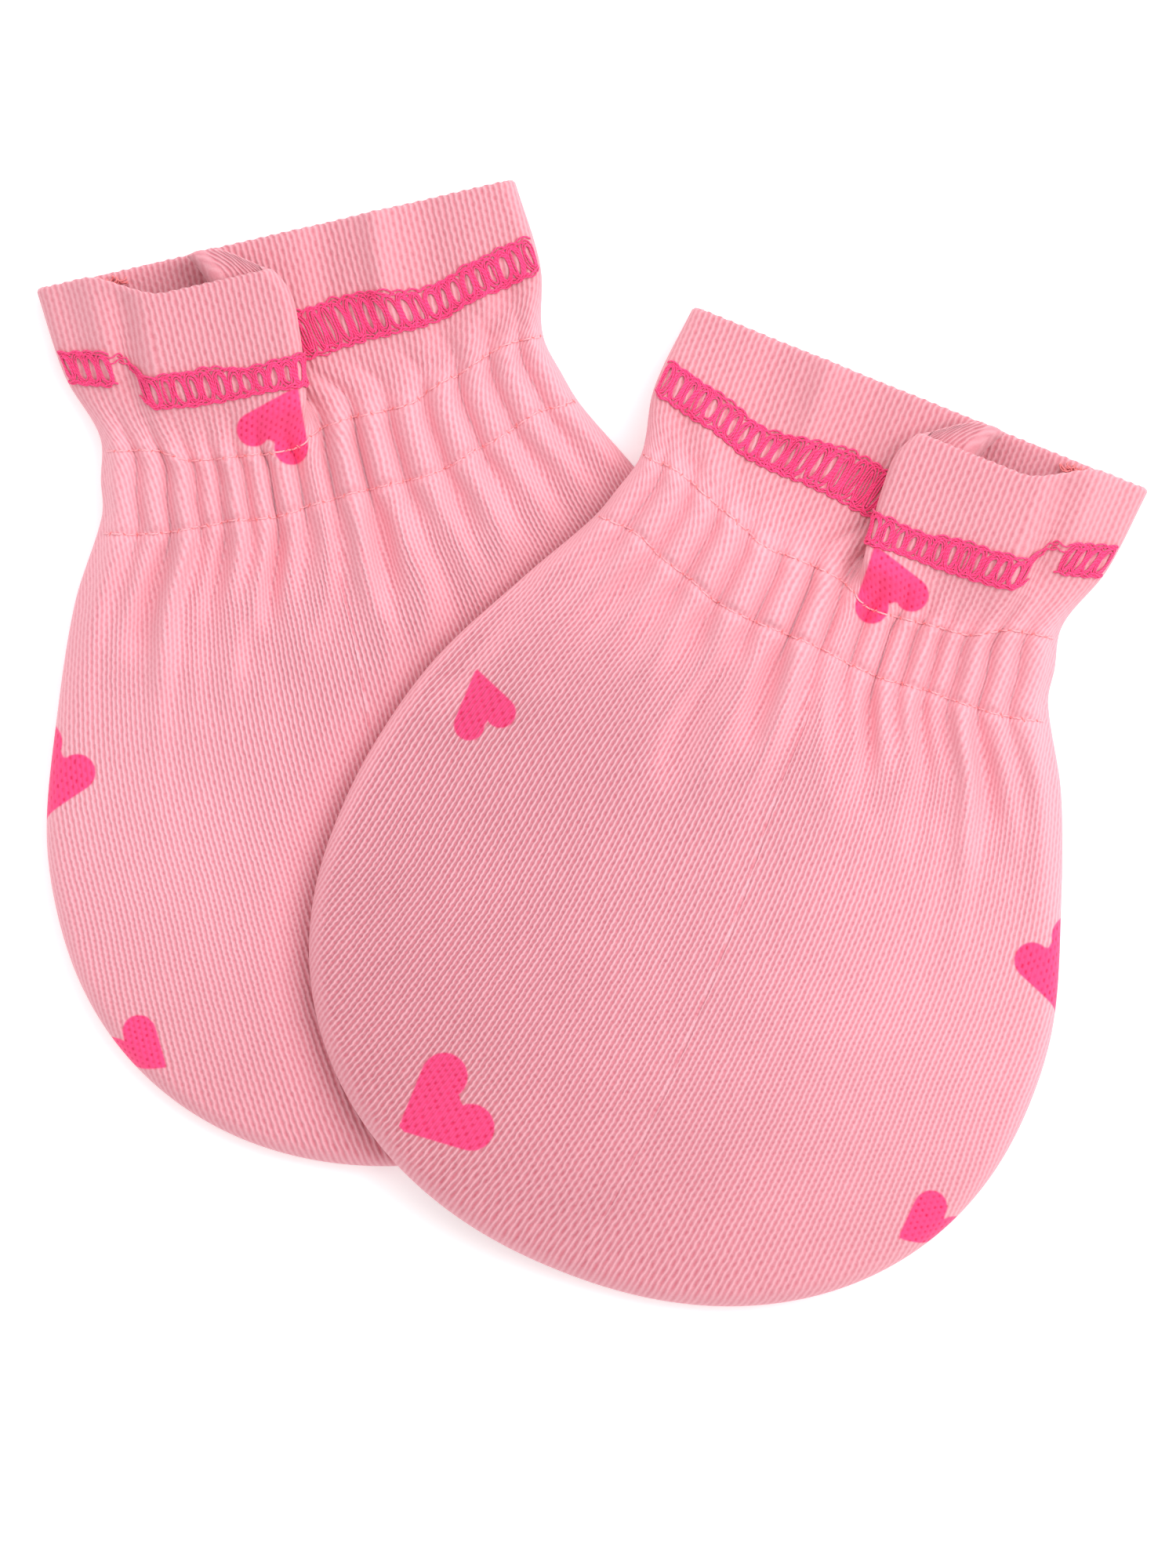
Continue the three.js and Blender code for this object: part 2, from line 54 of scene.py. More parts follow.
# Outline of one mitten: y, left edge, right edge, down to the widest row, and the tip below it.
SIDES = np.array([
    (23.5, -26.6, 26.1),
    (14, -27.2, 25.2),
    (6.9, -25.8, 23),
    (2.2, -26.9, 24),
    (-1.4, -28.1, 24.7),
    (-9.8, -32.5, 29.6),
    (-21.7, -38.1, 34.4),
    (-33, -40.8, 38.1),
    (-42, -41.4, 39),
])
CUFF_TOP = 23.5
WIDEST_ROW = -42
TIP = {"middle": -1.2, "half_width": 40.2, "depth": 35.6, "roundness": 2.15}

# The cloth, and how its two panels meet at the side seam.
WALL = 0.9
HEM_WALL = 1.3
HEM_FROM = 13
HEM_FULL = 15
SEAM_GAP = 0.3
SEAM_HEIGHT = 2
FRONT_ROLL = 1.7
BACK_ROLL = SEAM_HEIGHT - SEAM_GAP / 2
ROLL_SPARE = math.pi / 2 - 1
SEAM_BULGE = 0.13
HEM_BULGE = 0.35
RIM_BUMP = 0.08

# Fullness of the front over its rolled edge: y, height.
FULLNESS = np.array([(23.5, 0.5), (8, 0.5), (3.8, 0.8), (-2, 0.9), (-14, 1.6), (-34, 2), (-60, 1.9), (-78, 1.6)])
FULLNESS_REACH = 7

CASING = {"top": 6.8, "bottom": 0.8, "bow": 6, "peak": 4, "power": 2.4, "fade_above": 1.5, "fade_below": -25}

# The casing's two sewn rows as they wander over the cloth, from the right: column, row.
ROW_TOP = np.array([
    (23.5, 5.7), (16.7, 7.9), (14.2, 7.2), (8.9, 7.5), (3.2, 7.0), (0.1, 8.2), (-4.2, 8.3), (-9.6, 7.8), (-12.4, 8.3),
    (-16.1, 8.6), (-20.8, 8.8), (-26.5, 7.2),
])
ROW_BOTTOM = np.array([
    (23.5, -2.9), (18.9, -1.7), (12, 0.2), (6.4, 0.2), (2, 0.6), (-2.1, 0.7), (-6.7, 0.3), (-11.1, 0), (-14.6, 0.5),
    (-17.7, 0.5), (-21.7, 0.8), (-26.5, -0.6),
])

# Gathers across the wrist, puffs between sharp valleys: x of the puff, height, reach down the body.
GATHERS = np.array([
    (-24.3, 0.9, 7),
    (-21, 1.3, 8),
    (-17.2, 1.3, 9),
    (-13.4, 1.5, 10),
    (-9.3, 1.6, 14),
    (-5.1, 1.7, 11),
    (-1.6, 1.8, 18),
    (1.9, 1.2, 9),
    (5.2, 1.3, 12),
    (7.6, 1.2, 16),
    (10.2, 1.5, 9),
    (12.6, 1.1, 17),
    (15.2, 1.4, 19),
    (18, 1.1, 10),
    (20.9, 1, 16),
])
PUFF_POWER = 2.1
GATHER_ABOVE = 6.5
ABOVE_SHARE = 0.5
STITCH_PINCH = 0.3
STITCH_WIDTH = 0.45
GATHER_GAIN = 1.5

# The pleat in the front of the cuff, and the flap right of it that stands open as the mouth.
PLEAT = {
    "from": 0.5, "to": 3, "under_radius": 0.55, "over_radius": 1.5, "overlap": 5, "opens_at": 5, "full_at": 15,
    "edge_top": -0.8, "edge_bottom": 1, "least_turn": 0.3, "least_flat": 0.5, "drop_from": 0.2, "drop_to": 0.8,
    "round_from": 20.6, "round_by": 1.5,
}
FLAP = {
    "drop": 3.6, "rise": 3.9, "full_at": 19, "drop_ends": 16.1, "drop_out": 19, "rise_ends": 15, "rise_out": 25,
    "settle": 8, "rim_from": 17.6, "rim_ends": 12.5, "rim_out": 21.2,
}
SETTLED_ROW = -11.5
FLAT_TURN = 0.0001

# Folds of the front, soft troughs (depth above zero) and ridges: x0, y0, x1, y1, depth, width.
FOLD_ENDS = 0.25
FOLDS = np.array([
    (-31.2, -6, -36.8, -28, 0.9, 1.7),
    (17.2, 24, 18.2, 8, 1.2, 1.5),
    (20.8, 26, 20.4, 11, -0.5, 1.4),
    (-11.3, 29, -9.6, 10, -1.3, 1.5),
    (-16.5, 29, -15.5, 11, 0.8, 2.6),
    (-6, 29, -3.4, 9, 0.9, 2.3),
    (-24.5, 14.5, -19.5, 6, 0.8, 1.2),
    (-21.5, 14, -16.2, 5, -0.6, 1.2),
    (-17.2, 13, -12.8, 4.5, 0.6, 1.1),
    (-6.3, -3.5, -2.5, -20, 0.7, 1.3),
    (-10.9, -7, -10.1, -27, 0.8, 1.7),
    (3.7, -3, 13.6, -23, 0.8, 1.4),
    (12.3, -4, 19.4, -20, 0.7, 1.3),
    (18.6, -3.5, 25.2, -18, 0.7, 1.3),
    (-2.7, -4, 8.8, -24, -0.7, 1.9),
    (8.1, -4, 17, -26, -0.8, 1.6),
    (14.8, -4, 23.4, -23, -0.8, 1.5),
    (20.2, -3.5, 29, -20, -0.6, 1.4),
    (-16.2, -5, -15.2, -24, -0.5, 1.9),
    (-8.8, -6, -5.8, -26, -0.6, 1.9),
    (-22, -4, -27, -22, 0.45, 1.8),
])

PRESS = {"from": -6, "to": 3}
LIFT = {"height": 4.35, "from": -19, "to": 1}
ELASTIC = {
    "half_width": 2.7, "thick": 0.5, "low": 1.3, "high": 2.6, "rise": 0.5, "side_room": 2.4, "ribs": 12,
    "rib_dent": 0.04, "weave": 0.6,
}
SEAM_LEFT = -26.5
SEAM_RIGHT = 23.5


def smooth(low, high, value):
    t = np.clip((value - low) / (high - low), 0, 1)
    return t * t * (3 - 2 * t)


def mix(a, b, t):
    return a + (b - a) * t


def unit(vectors):
    return vectors / np.maximum(np.linalg.norm(vectors, axis=-1, keepdims=True), 1e-9)


def run_along(points):
    """Distance along each row of points."""
    steps = np.linalg.norm(np.diff(points, axis=-2), axis=-1)
    return np.concatenate([np.zeros_like(steps[..., :1]), np.cumsum(steps, axis=-1)], axis=-1)


def share_across(x):
    return (x - SEAM_LEFT) / (SEAM_RIGHT - SEAM_LEFT)


def curve(table, column, y):
    """A column of a table at heights y, on a smooth curve through its rows, straight down at the last one."""
    rows, values = table[:, 0], table[:, column]
    slopes = np.zeros(len(rows))
    for k in range(len(rows) - 1):
        low = max(k - 1, 0)
        slopes[k] = (values[k + 1] - values[low]) / (rows[k + 1] - rows[low])
    y = np.asarray(y, float)
    i = np.clip(np.searchsorted(-rows, -y, side="right") - 1, 0, len(rows) - 2)
    span = rows[i + 1] - rows[i]
    t = np.clip((y - rows[i]) / span, 0, 1)
    h = t * t * (3 - 2 * t)
    bend_in = slopes[i] * span * t * (1 - t) * (1 - t)
    bend_out = slopes[i + 1] * span * t * t * (1 - t)
    return values[i] * (1 - h) + values[i + 1] * h + bend_in - bend_out


def edges(y, spare=0.0):
    """The two edges at heights y, each moved out by spare."""
    y = np.asarray(y, float)
    left = curve(SIDES, 1, y) - spare
    right = curve(SIDES, 2, y) + spare
    down = np.clip((WIDEST_ROW - y) / (TIP["depth"] + spare), 0, 1)
    half = (TIP["half_width"] + spare) * np.power(1 - np.power(down, TIP["roundness"]), 1 / TIP["roundness"])
    in_tip = y < WIDEST_ROW
    return np.where(in_tip, TIP["middle"] - half, left), np.where(in_tip, TIP["middle"] + half, right)


def seam_path():
    """The seam seen from above, down the left side, round the tip and up the right side."""
    ys = np.arange(CUFF_TOP + 16, WIDEST_ROW, -0.8)
    left, right = edges(ys)
    angles = np.radians(np.arange(180, -0.1, -1.5))
    c, s = np.cos(angles), np.sin(angles)
    power = 2 / TIP["roundness"]
    tip_x = TIP["middle"] + TIP["half_width"] * np.sign(c) * np.abs(c) ** power
    tip_y = WIDEST_ROW - TIP["depth"] * np.abs(s) ** power
    x = np.concatenate([left, tip_x, right[::-1]])
    y = np.concatenate([ys, tip_y, ys[::-1]])
    return np.stack([x, y], axis=1)


SEAM = seam_path()
SEAM_STEPS = np.diff(SEAM, axis=0)
SEAM_LENGTHS = np.hypot(SEAM_STEPS[:, 0], SEAM_STEPS[:, 1])
SEAM_NORMALS = np.stack([-SEAM_STEPS[:, 1], SEAM_STEPS[:, 0]], axis=1) / SEAM_LENGTHS[:, None]
CORNER_NORMALS = unit(np.vstack([SEAM_NORMALS[:1], SEAM_NORMALS[1:] + SEAM_NORMALS[:-1], SEAM_NORMALS[-1:]]))
SEAM_SQUARES = (SEAM**2).sum(axis=1)
CHUNK = 8192


def inset(x, y):
    """How far points lie inside the seam, seen from above, and the direction inwards from its nearest stretch."""
    points = np.stack([np.ravel(x), np.ravel(y)], axis=1)
    depth = np.empty(len(points))
    inward = np.empty_like(points)
    for first in range(0, len(points), CHUNK):
        p = points[first : first + CHUNK]
        corner = (SEAM_SQUARES - 2 * p @ SEAM.T).argmin(axis=1)
        best = np.full(len(p), np.inf)
        for near in (np.maximum(corner - 1, 0), np.minimum(corner, len(SEAM_STEPS) - 1)):
            away = p - SEAM[near]
            t = np.clip((away * SEAM_STEPS[near]).sum(axis=1) / SEAM_LENGTHS[near] ** 2, 0, 1)[:, None]
            off = away - t * SEAM_STEPS[near]
            distance = np.hypot(off[:, 0], off[:, 1])
            closer = distance < best
            best = np.where(closer, distance, best)
            side = np.sign((off * SEAM_NORMALS[near]).sum(axis=1))
            normal = unit(mix(CORNER_NORMALS[near], CORNER_NORMALS[near + 1], t))
            depth[first : first + CHUNK][closer] = (side * distance)[closer]
            inward[first : first + CHUNK][closer] = normal[closer]
    shape = np.shape(x)
    return depth.reshape(shape), inward[:, 0].reshape(shape), inward[:, 1].reshape(shape)


def bend(whole, start, end):
    """A turn of constant bend between two headings, for cloth of length 1 that would turn through the whole angle."""
    flat = whole < FLAT_TURN
    safe = np.where(flat, 1.0, whole)
    way = np.where(start <= end, 1.0, -1.0)
    x = np.where(flat, np.where(end == start, 0.0, 1.0), way * (np.sin(end) - np.sin(start)) / safe)
    z = np.where(flat, 0.0, way * (np.cos(start) - np.cos(end)) / safe)
    return x, z


def pleat_point(pleat, s):
    """A point of the pleat at distance s along its cloth: its offset from the pleat's start, and its heading."""
    turn, under, over, flat = pleat["turn"], pleat["under"], pleat["over"], pleat["flat"]
    straight = turn < FLAT_TURN
    a = np.minimum(s, under)
    b = np.clip(s - under, 0, flat)
    c = np.clip(s - under - flat, 0, over)
    up_x, up_z = bend(turn, np.zeros_like(turn), turn * a / under)
    down_x, down_z = bend(turn, turn, turn * (1 - c / over))
    heading = np.where(c > 0, turn * (1 - c / over), turn * a / under)
    x = np.where(straight, s, under * up_x + b * np.cos(turn) + over * down_x)
    z = np.where(straight, 0.0, under * up_z + b * np.sin(turn) + over * down_z)
    return x, z, np.where(straight, 0.0, heading)


def pleat_at(v):
    """The pleat's section at rows v: how far its cloth turns, its three lengths, and where it starts and ends."""
    turn = np.maximum(math.pi * smooth(PLEAT["opens_at"], PLEAT["full_at"], v), 2 * FLAT_TURN)
    share = PLEAT["least_turn"] + (1 - PLEAT["least_turn"]) * turn / math.pi
    under = math.pi * PLEAT["under_radius"] * share
    over = math.pi * PLEAT["over_radius"] * share
    back = np.maximum(0, -np.cos(turn))
    flat = PLEAT["least_flat"] + back * PLEAT["overlap"] * smooth(PLEAT["opens_at"], CUFF_TOP, v)
    pleat = {"turn": turn, "under": under, "over": over, "flat": flat, "length": under + flat + over}
    edge = mix(PLEAT["edge_bottom"], PLEAT["edge_top"], smooth(PLEAT["opens_at"], CUFF_TOP, v))
    corner = np.clip((v - PLEAT["round_from"]) / (CUFF_TOP - PLEAT["round_from"]), 0, 1)
    edge = edge + PLEAT["round_by"] * corner**2
    quarter = np.minimum(turn, math.pi / 2)
    first, _ = bend(turn, np.zeros_like(turn), turn)
    last, _ = bend(turn, turn, quarter)
    reach = under * first + flat * np.cos(turn) + over * last
    pleat["start"] = edge - reach
    pleat["end"] = pleat["start"] + pleat_point(pleat, pleat["length"])[0]
    return pleat


def pulled_down(x, v):
    """How far the wrist's pull brings the cloth down at rows v, for the columns that cross the wrist at x."""
    side = np.where(x < CASING["peak"], SEAM_LEFT, SEAM_RIGHT)
    away = np.minimum(np.abs((x - CASING["peak"]) / (side - CASING["peak"])), 1)
    above = np.maximum(v - CASING["top"], 0) / (CUFF_TOP - CASING["top"])
    below = smooth(CASING["fade_below"], CASING["bottom"], v)
    across = 1 - np.power(away, CASING["power"])
    return CASING["bow"] * across * (1 - np.power(above, CASING["fade_above"])) * below


def gather_height(x, v):
    """Height of the gathers over the troughs between them: full ridges in the casing, softer ones below it."""
    height = np.zeros_like(x)
    top, bottom = curve(ROW_TOP, 1, x), curve(ROW_BOTTOM, 1, x)
    soft = smooth(bottom, bottom - 5, v)
    last = len(GATHERS) - 1
    for i, (ridge_x, tall, reach) in enumerate(GATHERS):
        before = GATHERS[i - 1, 0] if i > 0 else 2 * ridge_x - GATHERS[1, 0]
        after = GATHERS[i + 1, 0] if i < last else 2 * ridge_x - GATHERS[last - 1, 0]
        half = np.where(x < ridge_x, ridge_x - before, after - ridge_x) / 2
        away = np.minimum(np.abs(x - ridge_x) / half, 1)
        puff = 1 - np.power(away, PUFF_POWER)
        wave = np.cos(away * math.pi / 2) ** 2
        below = np.exp(-np.power(np.maximum(bottom - v, 0) / reach, 2))
        height += GATHER_GAIN * tall * mix(puff, wave, soft) * below
    over = np.maximum(v - top, 0)
    above = mix(1, ABOVE_SHARE, smooth(0, 1.2, over)) * (1 - smooth(0.5, GATHER_ABOVE, over))
    pinch = sum(np.exp(-np.power((v - row) / STITCH_WIDTH, 2)) for row in (top, bottom))
    return height * above * (1 - STITCH_PINCH * pinch)


def fold_depth(x, y):
    """Depth of the longer folds at points seen from above."""
    total = np.zeros_like(x)
    for x0, y0, x1, y1, depth, width in FOLDS:
        length = math.hypot(x1 - x0, y1 - y0)
        dx, dy = (x1 - x0) / length, (y1 - y0) / length
        along = (x - x0) * dx + (y - y0) * dy
        aside = (x - x0) * dy - (y - y0) * dx
        fade = FOLD_ENDS * length
        ends = smooth(0, fade, along) * (1 - smooth(length - fade, length, along))
        total += depth * ends * np.exp(-np.power(aside / width, 2))
    return total


def roll_in(x, y, radius):
    """Rolls points of the flat cut in over the seam: where they come to lie, and the slope of the cloth there."""
    depth, nx, ny = inset(x, y)
    cloth = np.clip(depth + radius * ROLL_SPARE, 0, radius * math.pi / 2)
    tilt = cloth / radius
    flat = np.maximum(depth, radius)
    inward = np.where(tilt < math.pi / 2, radius * (1 - np.cos(tilt)), flat)
    move = inward - depth
    return {
        "x": x + nx * move, "y": y + ny * move, "depth": inward, "tilt": tilt, "nx": nx, "ny": ny,
        "height": radius * np.sin(tilt),
    }


def front_plan(x, v):
    """Where the columns that cross the wrist at x lie in rows v, on the flat cut, and the pleat there."""
    left, right = edges(v, FRONT_ROLL * ROLL_SPARE)
    pleat = pleat_at(v)
    settle = smooth(CASING["top"], SETTLED_ROW, v)

    start = mix(pleat["start"], mix(left, right, share_across(PLEAT["from"])), settle)
    end = mix(pleat["end"], mix(left, right, share_across(PLEAT["to"])), settle)
    way = np.clip((x - PLEAT["from"]) / (PLEAT["to"] - PLEAT["from"]), 0, 1)
    point_x, point_z, heading = pleat_point(pleat, way * pleat["length"])
    stretch = np.where(settle > 0, (end - start) / (pleat["end"] - pleat["start"]), 1)
    on_left, on_right = x <= PLEAT["from"], x >= PLEAT["to"]
    left_x = mix(left, start, (x - SEAM_LEFT) / (PLEAT["from"] - SEAM_LEFT))
    right_x = mix(end, right, (x - PLEAT["to"]) / (SEAM_RIGHT - PLEAT["to"]))
    over = smooth(PLEAT["drop_from"], PLEAT["drop_to"], way)
    return {
        "x": np.where(on_left, left_x, np.where(on_right, right_x, start + point_x * stretch)),
        "z": np.where(on_left, 0.0, point_z),
        "heading": np.where(on_left | on_right, 0.0, heading),
        "over": np.where(on_left, 0.0, np.where(on_right, 1.0, over)),
        "pleat": pleat, "way": way, "stretch": stretch,
    }


def fullness_at(v, depth):
    return curve(FULLNESS, 1, v) * (1 - np.exp(-depth / FULLNESS_REACH))


def to_common(place, x, y):
    c, s = math.cos(math.radians(place["turn"])), math.sin(math.radians(place["turn"]))
    return place["x"] + place["mirror"] * x * c - y * s, place["y"] + place["mirror"] * x * s + y * c


def to_own(place, x, y):
    c, s = math.cos(math.radians(place["turn"])), math.sin(math.radians(place["turn"]))
    dx, dy = x - place["x"], y - place["y"]
    return place["mirror"] * (dx * c + dy * s), dy * c - dx * s


def depth_in_other(side, x, y):
    """Depth inside the other mitten's outline, for points of this one."""
    other = PLACES["left" if side == "right" else "right"]
    return inset(*to_own(other, *to_common(PLACES[side], x, y)))[0]


def flat_front(x, v):
    """Columns x and rows v of the front on its cut as laid, before the seam rolls it in."""
    plan = front_plan(x, v)
    opening = smooth(PLEAT["opens_at"], FLAP["full_at"], v)
    rim = smooth(FLAP["rim_from"], CUFF_TOP, v)
    ends = mix(FLAP["drop_ends"], FLAP["rim_ends"], rim)
    out = mix(FLAP["drop_out"], FLAP["rim_out"], rim)
    drop = FLAP["drop"] * plan["over"] * opening * (1 - smooth(ends, out, plan["x"]))
    return plan, opening, v - pulled_down(x, v) - drop


def front_point(side, x, v, inside=0.0):
    """Points of the front panel in its own frame, at the given depth inside its outer face."""
    plan, opening, y = flat_front(x, v)
    rolled = roll_in(plan["x"], y, FRONT_ROLL)
    upright, sideways = np.sin(rolled["tilt"]), np.cos(rolled["tilt"])
    press = 0.0
    if side == "left":
        press = smooth(PRESS["from"], PRESS["to"], depth_in_other(side, rolled["x"], rolled["y"]))
    full = fullness_at(v, rolled["depth"]) * upright
    beyond = smooth(0, FLAP["settle"], plan["x"] - plan["pleat"]["end"]) * plan["over"]
    raised = mix(plan["z"], FLAP["rise"] * opening, beyond)
    raised = raised * (1 - smooth(FLAP["rise_ends"], FLAP["rise_out"], plan["x"]))
    outer = np.asarray(inside) == 0
    gathers = np.where(outer, gather_height(x, v) * upright, 0.0)
    relief = fold_depth(rolled["x"], rolled["y"]) * upright
    level = SEAM_HEIGHT + SEAM_GAP / 2 + rolled["height"] + raised
    face = level + (full + gathers - relief) * (1 - press)
    heading = plan["heading"]
    return np.stack([
        rolled["x"] + inside * (rolled["nx"] * sideways + np.sin(heading) * upright),
        rolled["y"] + inside * rolled["ny"] * sideways,
        face - inside * upright * np.cos(heading),
    ], axis=-1)


# The back lies flat. Its outer face stands off the surface by as much as the threads that lie under it.
BACK_DENT = 0.3
ROW_DENT_WIDTH = 0.7
BACK_GATHERS = {"share": 0.22, "shift": 1.3}
BAND_LOW = 13.4
BAND_HIGH = 18.2


def back_dent(v):
    """How far the back's outer face is drawn in, over the sewn rows."""
    band = smooth(BAND_LOW - 1, BAND_LOW, v) * (1 - smooth(BAND_HIGH, BAND_HIGH + 1, v))
    rows = sum(np.exp(-np.power((v - CASING[row]) / ROW_DENT_WIDTH, 2)) for row in ("top", "bottom"))
    return BACK_DENT * np.clip(band + rows, 0, 1)


def back_gathers(x, v):
    """Low gathers on the back, which is pressed flat by its own weight."""
    return BACK_GATHERS["share"] * gather_height(x + BACK_GATHERS["shift"], v)


def back_across(x, v):
    """Where the columns that cross the wrist at x lie in rows v, on the back's flat cut."""
    left, right = edges(v, BACK_ROLL * ROLL_SPARE)
    return mix(left, right, share_across(x))


def back_point(side, x, v, inside=0.0):
    """Points of the back panel, which lies flat on the surface and rolls up to the seam."""
    rolled = roll_in(back_across(x, v), v, BACK_ROLL)
    sideways, upright = np.cos(rolled["tilt"]), np.sin(rolled["tilt"])
    drawn = np.where(np.asarray(inside) == 0, (back_dent(v) + back_gathers(x, v)) * upright**4, 0.0)
    return np.stack([
        rolled["x"] + inside * rolled["nx"] * sideways,
        rolled["y"] + inside * rolled["ny"] * sideways,
        BACK_ROLL - rolled["height"] + inside * upright + drawn,
    ], axis=-1)


def placed(side, points):
    """Points of a mitten's own frame in the common frame, with the right one lifted over the left one, in metres."""
    place = PLACES[side]
    x, y = to_common(place, points[..., 0], points[..., 1])
    z = points[..., 2]
    if side == "right":
        depth = depth_in_other(side, points[..., 0], points[..., 1])
        z = z + LIFT["height"] * smooth(LIFT["from"], LIFT["to"], depth)
    return np.stack([x, y, z], axis=-1) * MM


# Knit: wales run along a mitten and courses across it. On the body the wales fan out below the wrist: y, pitch across
# the cloth, and x of the wale that starts at mid wrist.
WALES = np.array([
    (23.5, 0.9, 3), (0, 0.88, 3), (-8, 0.9, 3), (-14, 0.95, 3), (-20, 1, 3), (-28, 1.06, 2.8), (-36, 1.09, 2.4),
    (-44, 1.11, 1.7), (-52, 1.15, 0.8), (-60, 1.19, -0.3), (-68, 1.24, -1.8), (-80, 1.31, -4),
])
CUFF_WALES = np.array([(23.5, 1.24), (15, 1.22), (10, 1.14), (5, 1.04), (-4, 1)])
# Where the cuff's wales stand upright left and right of the pleat, and the share of the pleat that turns in.
CUFF_UPRIGHT = (-8, 12)
PLEAT_TURN_IN = 0.12
COURSES = np.array([(23.5, 61.3), (-14, 19.6), (-34, 0), (-78, -51.2)])


def courses_at(v):
    return curve(COURSES, 1, np.maximum(v, -78)) + (np.minimum(v, -78) + 78) / 0.86


def wale_at(x, v, plan, points):
    """The wale coordinate, even along the cloth over each gather, and counted from the right through the pleat."""
    run = run_along(points)
    in_cuff = smooth(CASING["bottom"] + 3, CASING["top"] + 6, v)
    pitch = mix(curve(WALES, 1, v), curve(CUFF_WALES, 1, v), in_cuff)
    middle = curve(WALES, 2, v)
    wales = np.empty_like(x)
    valleys = (GATHERS[1:, 0] + GATHERS[:-1, 0]) / 2
    for part, upright in ((x[0] <= PLEAT["from"], CUFF_UPRIGHT[0]), (x[0] >= PLEAT["to"], CUFF_UPRIGHT[1])):
        reach, even = run[:, part], plan["x"][:, part]
        cuts = np.unique([0, *np.abs(x[0, part, None] - valleys).argmin(axis=0), part.sum() - 1])
        for a, b in zip(cuts[:-1], cuts[1:]):
            share = (reach[:, a : b + 1] - reach[:, a : a + 1]) / (reach[:, b : b + 1] - reach[:, a : a + 1])
            even[:, a : b + 1] = mix(even[:, a : a + 1], even[:, b : b + 1], share)
        centre = mix(middle, upright, smooth(-4, 4, v))[:, :1]
        wales[:, part] = (even - centre) / pitch[:, :1] + (centre - middle[:, :1]) / WALES[1, 1]
    inside = (x[0] > PLEAT["from"]) & (x[0] < PLEAT["to"])
    first, last = np.flatnonzero(inside)[[0, -1]]
    way = plan["way"][:, inside]
    length = plan["pleat"]["length"][:, :1] * plan["stretch"][:, :1]
    back = wales[:, last + 1 : last + 2] - (1 - way) * length / pitch[:, :1]
    wales[:, inside] = mix(wales[:, first - 1 : first], back, smooth(0, PLEAT_TURN_IN, way))
    return wales


# Printed hearts in a mitten's own frame: tip, the middles of the two lobes, the lobes' radius.
HEARTS_FRONT = [
    ((-33.6, -21.0), (-29.4, -24.4), (-32.0, -26.9), 1.65),
    ((-22.9, -69.9), (-20.4, -62.7), (-15.7, -66.7), 2.5),
    ((39.0, -31.9), (36.2, -23.8), (33.4, -27.7), 1.95),
    ((31.2, -60.7), (33.2, -56.3), (36.4, -58.2), 1.8),
]
HEART_CUFF = ((1.0, 7.2), (6.7, 3.8), (3.2, 1.0), 1.8)
HEARTS_BACK = [
    ((-6.9, -22.4), (-10.8, -18.6), (-6.2, -16.0), 2.3),
    ((20.4, -30.9), (16.2, -34.1), (21.1, -36.6), 2.3),
    ((-25.8, -41.7), (-29.9, -45.6), (-25.2, -48.2), 2.4),
    ((7.2, -64.8), (3.3, -60.6), (8.2, -58.4), 2.4),
]


def outside_polygon(x, y, corners):
    """Signed distance to a polygon, below zero inside it."""
    distance = np.full(np.shape(x), np.inf)
    inside = np.zeros(np.shape(x), bool)
    for k, (ax, ay) in enumerate(corners):
        bx, by = corners[(k + 1) % len(corners)]
        dx, dy = bx - ax, by - ay
        t = np.clip(((x - ax) * dx + (y - ay) * dy) / (dx * dx + dy * dy), 0, 1)
        distance = np.minimum(distance, np.hypot(x - ax - t * dx, y - ay - t * dy))
        if ay != by:
            crosses = (ay > y) != (by > y)
            inside ^= crosses & (x < ax + dx * (y - ay) / dy)
    return np.where(inside, -distance, distance)


def outside_heart(x, y, heart):
    """Signed distance to a heart, below zero inside it."""
    tip, a, b, radius = heart
    tip, a, b = np.array(tip), np.array(a), np.array(b)
    middle = (a + b) / 2
    corners = [tuple(tip)]
    for lobe, other in ((a, b), (b, a)):
        reach = lobe - tip
        length = np.linalg.norm(reach)
        angle = math.acos(radius / length)
        turn = 1 if reach[0] * (other - tip)[1] - reach[1] * (other - tip)[0] < 0 else -1
        back = -reach / length
        c, s = math.cos(-turn * angle), math.sin(-turn * angle)
        touch = lobe + radius * np.array([back[0] * c - back[1] * s, back[0] * s + back[1] * c])
        pair = [tuple(touch), tuple(lobe)]
        corners += pair if lobe is a else pair[::-1]
        if lobe is a:
            corners.append(tuple(middle + 0.04 * (middle - tip)))
    body = outside_polygon(x, y, corners)
    lobes = [np.hypot(x - lobe[0], y - lobe[1]) - radius for lobe in (a, b)]
    return np.minimum(body, np.minimum(*lobes))


NO_PRINT = 9.0


def nearest_heart(x, y, hearts):
    return np.minimum(NO_PRINT, np.min([outside_heart(x, y, heart) for heart in hearts], axis=0))


def openness_and_side_shade(x, v):
    """How far the knit is drawn open, which darkens its gaps: most at the lower left, where the cloth is stretched.
    It also holds painted shade: darker towards the mitten's left side and lighter towards its right.
    """
    gathered = smooth(-9, 0, v) * (1 - smooth(8, 12, v))
    stretched = smooth(14, -34, x) * smooth(-6, -26, v)
    return 0.9 - 0.3 * gathered - 0.22 * smooth(8, 26, x) - 0.2 * smooth(9, 13, v) + 0.36 * stretched


def darker_hem_and_shaded_tip(x, v):
    """Where the cloth is darker: at the hem, and towards the tip, where the darkening is painted shade."""
    return np.clip(smooth(8, 14, v) + 0.9 * smooth(-36, -74, v), 0, 1)


def front_print(x, v):
    plan, _, y = flat_front(x, v)
    distance = nearest_heart(plan["x"], y, HEARTS_FRONT)
    cuff = outside_heart(plan["x"], y, HEART_CUFF)
    return np.where((x > PLEAT["from"] + 1) & (v < 16), np.minimum(distance, cuff), distance)


def back_print(x, v):
    return nearest_heart(back_across(x, v), v, HEARTS_BACK)


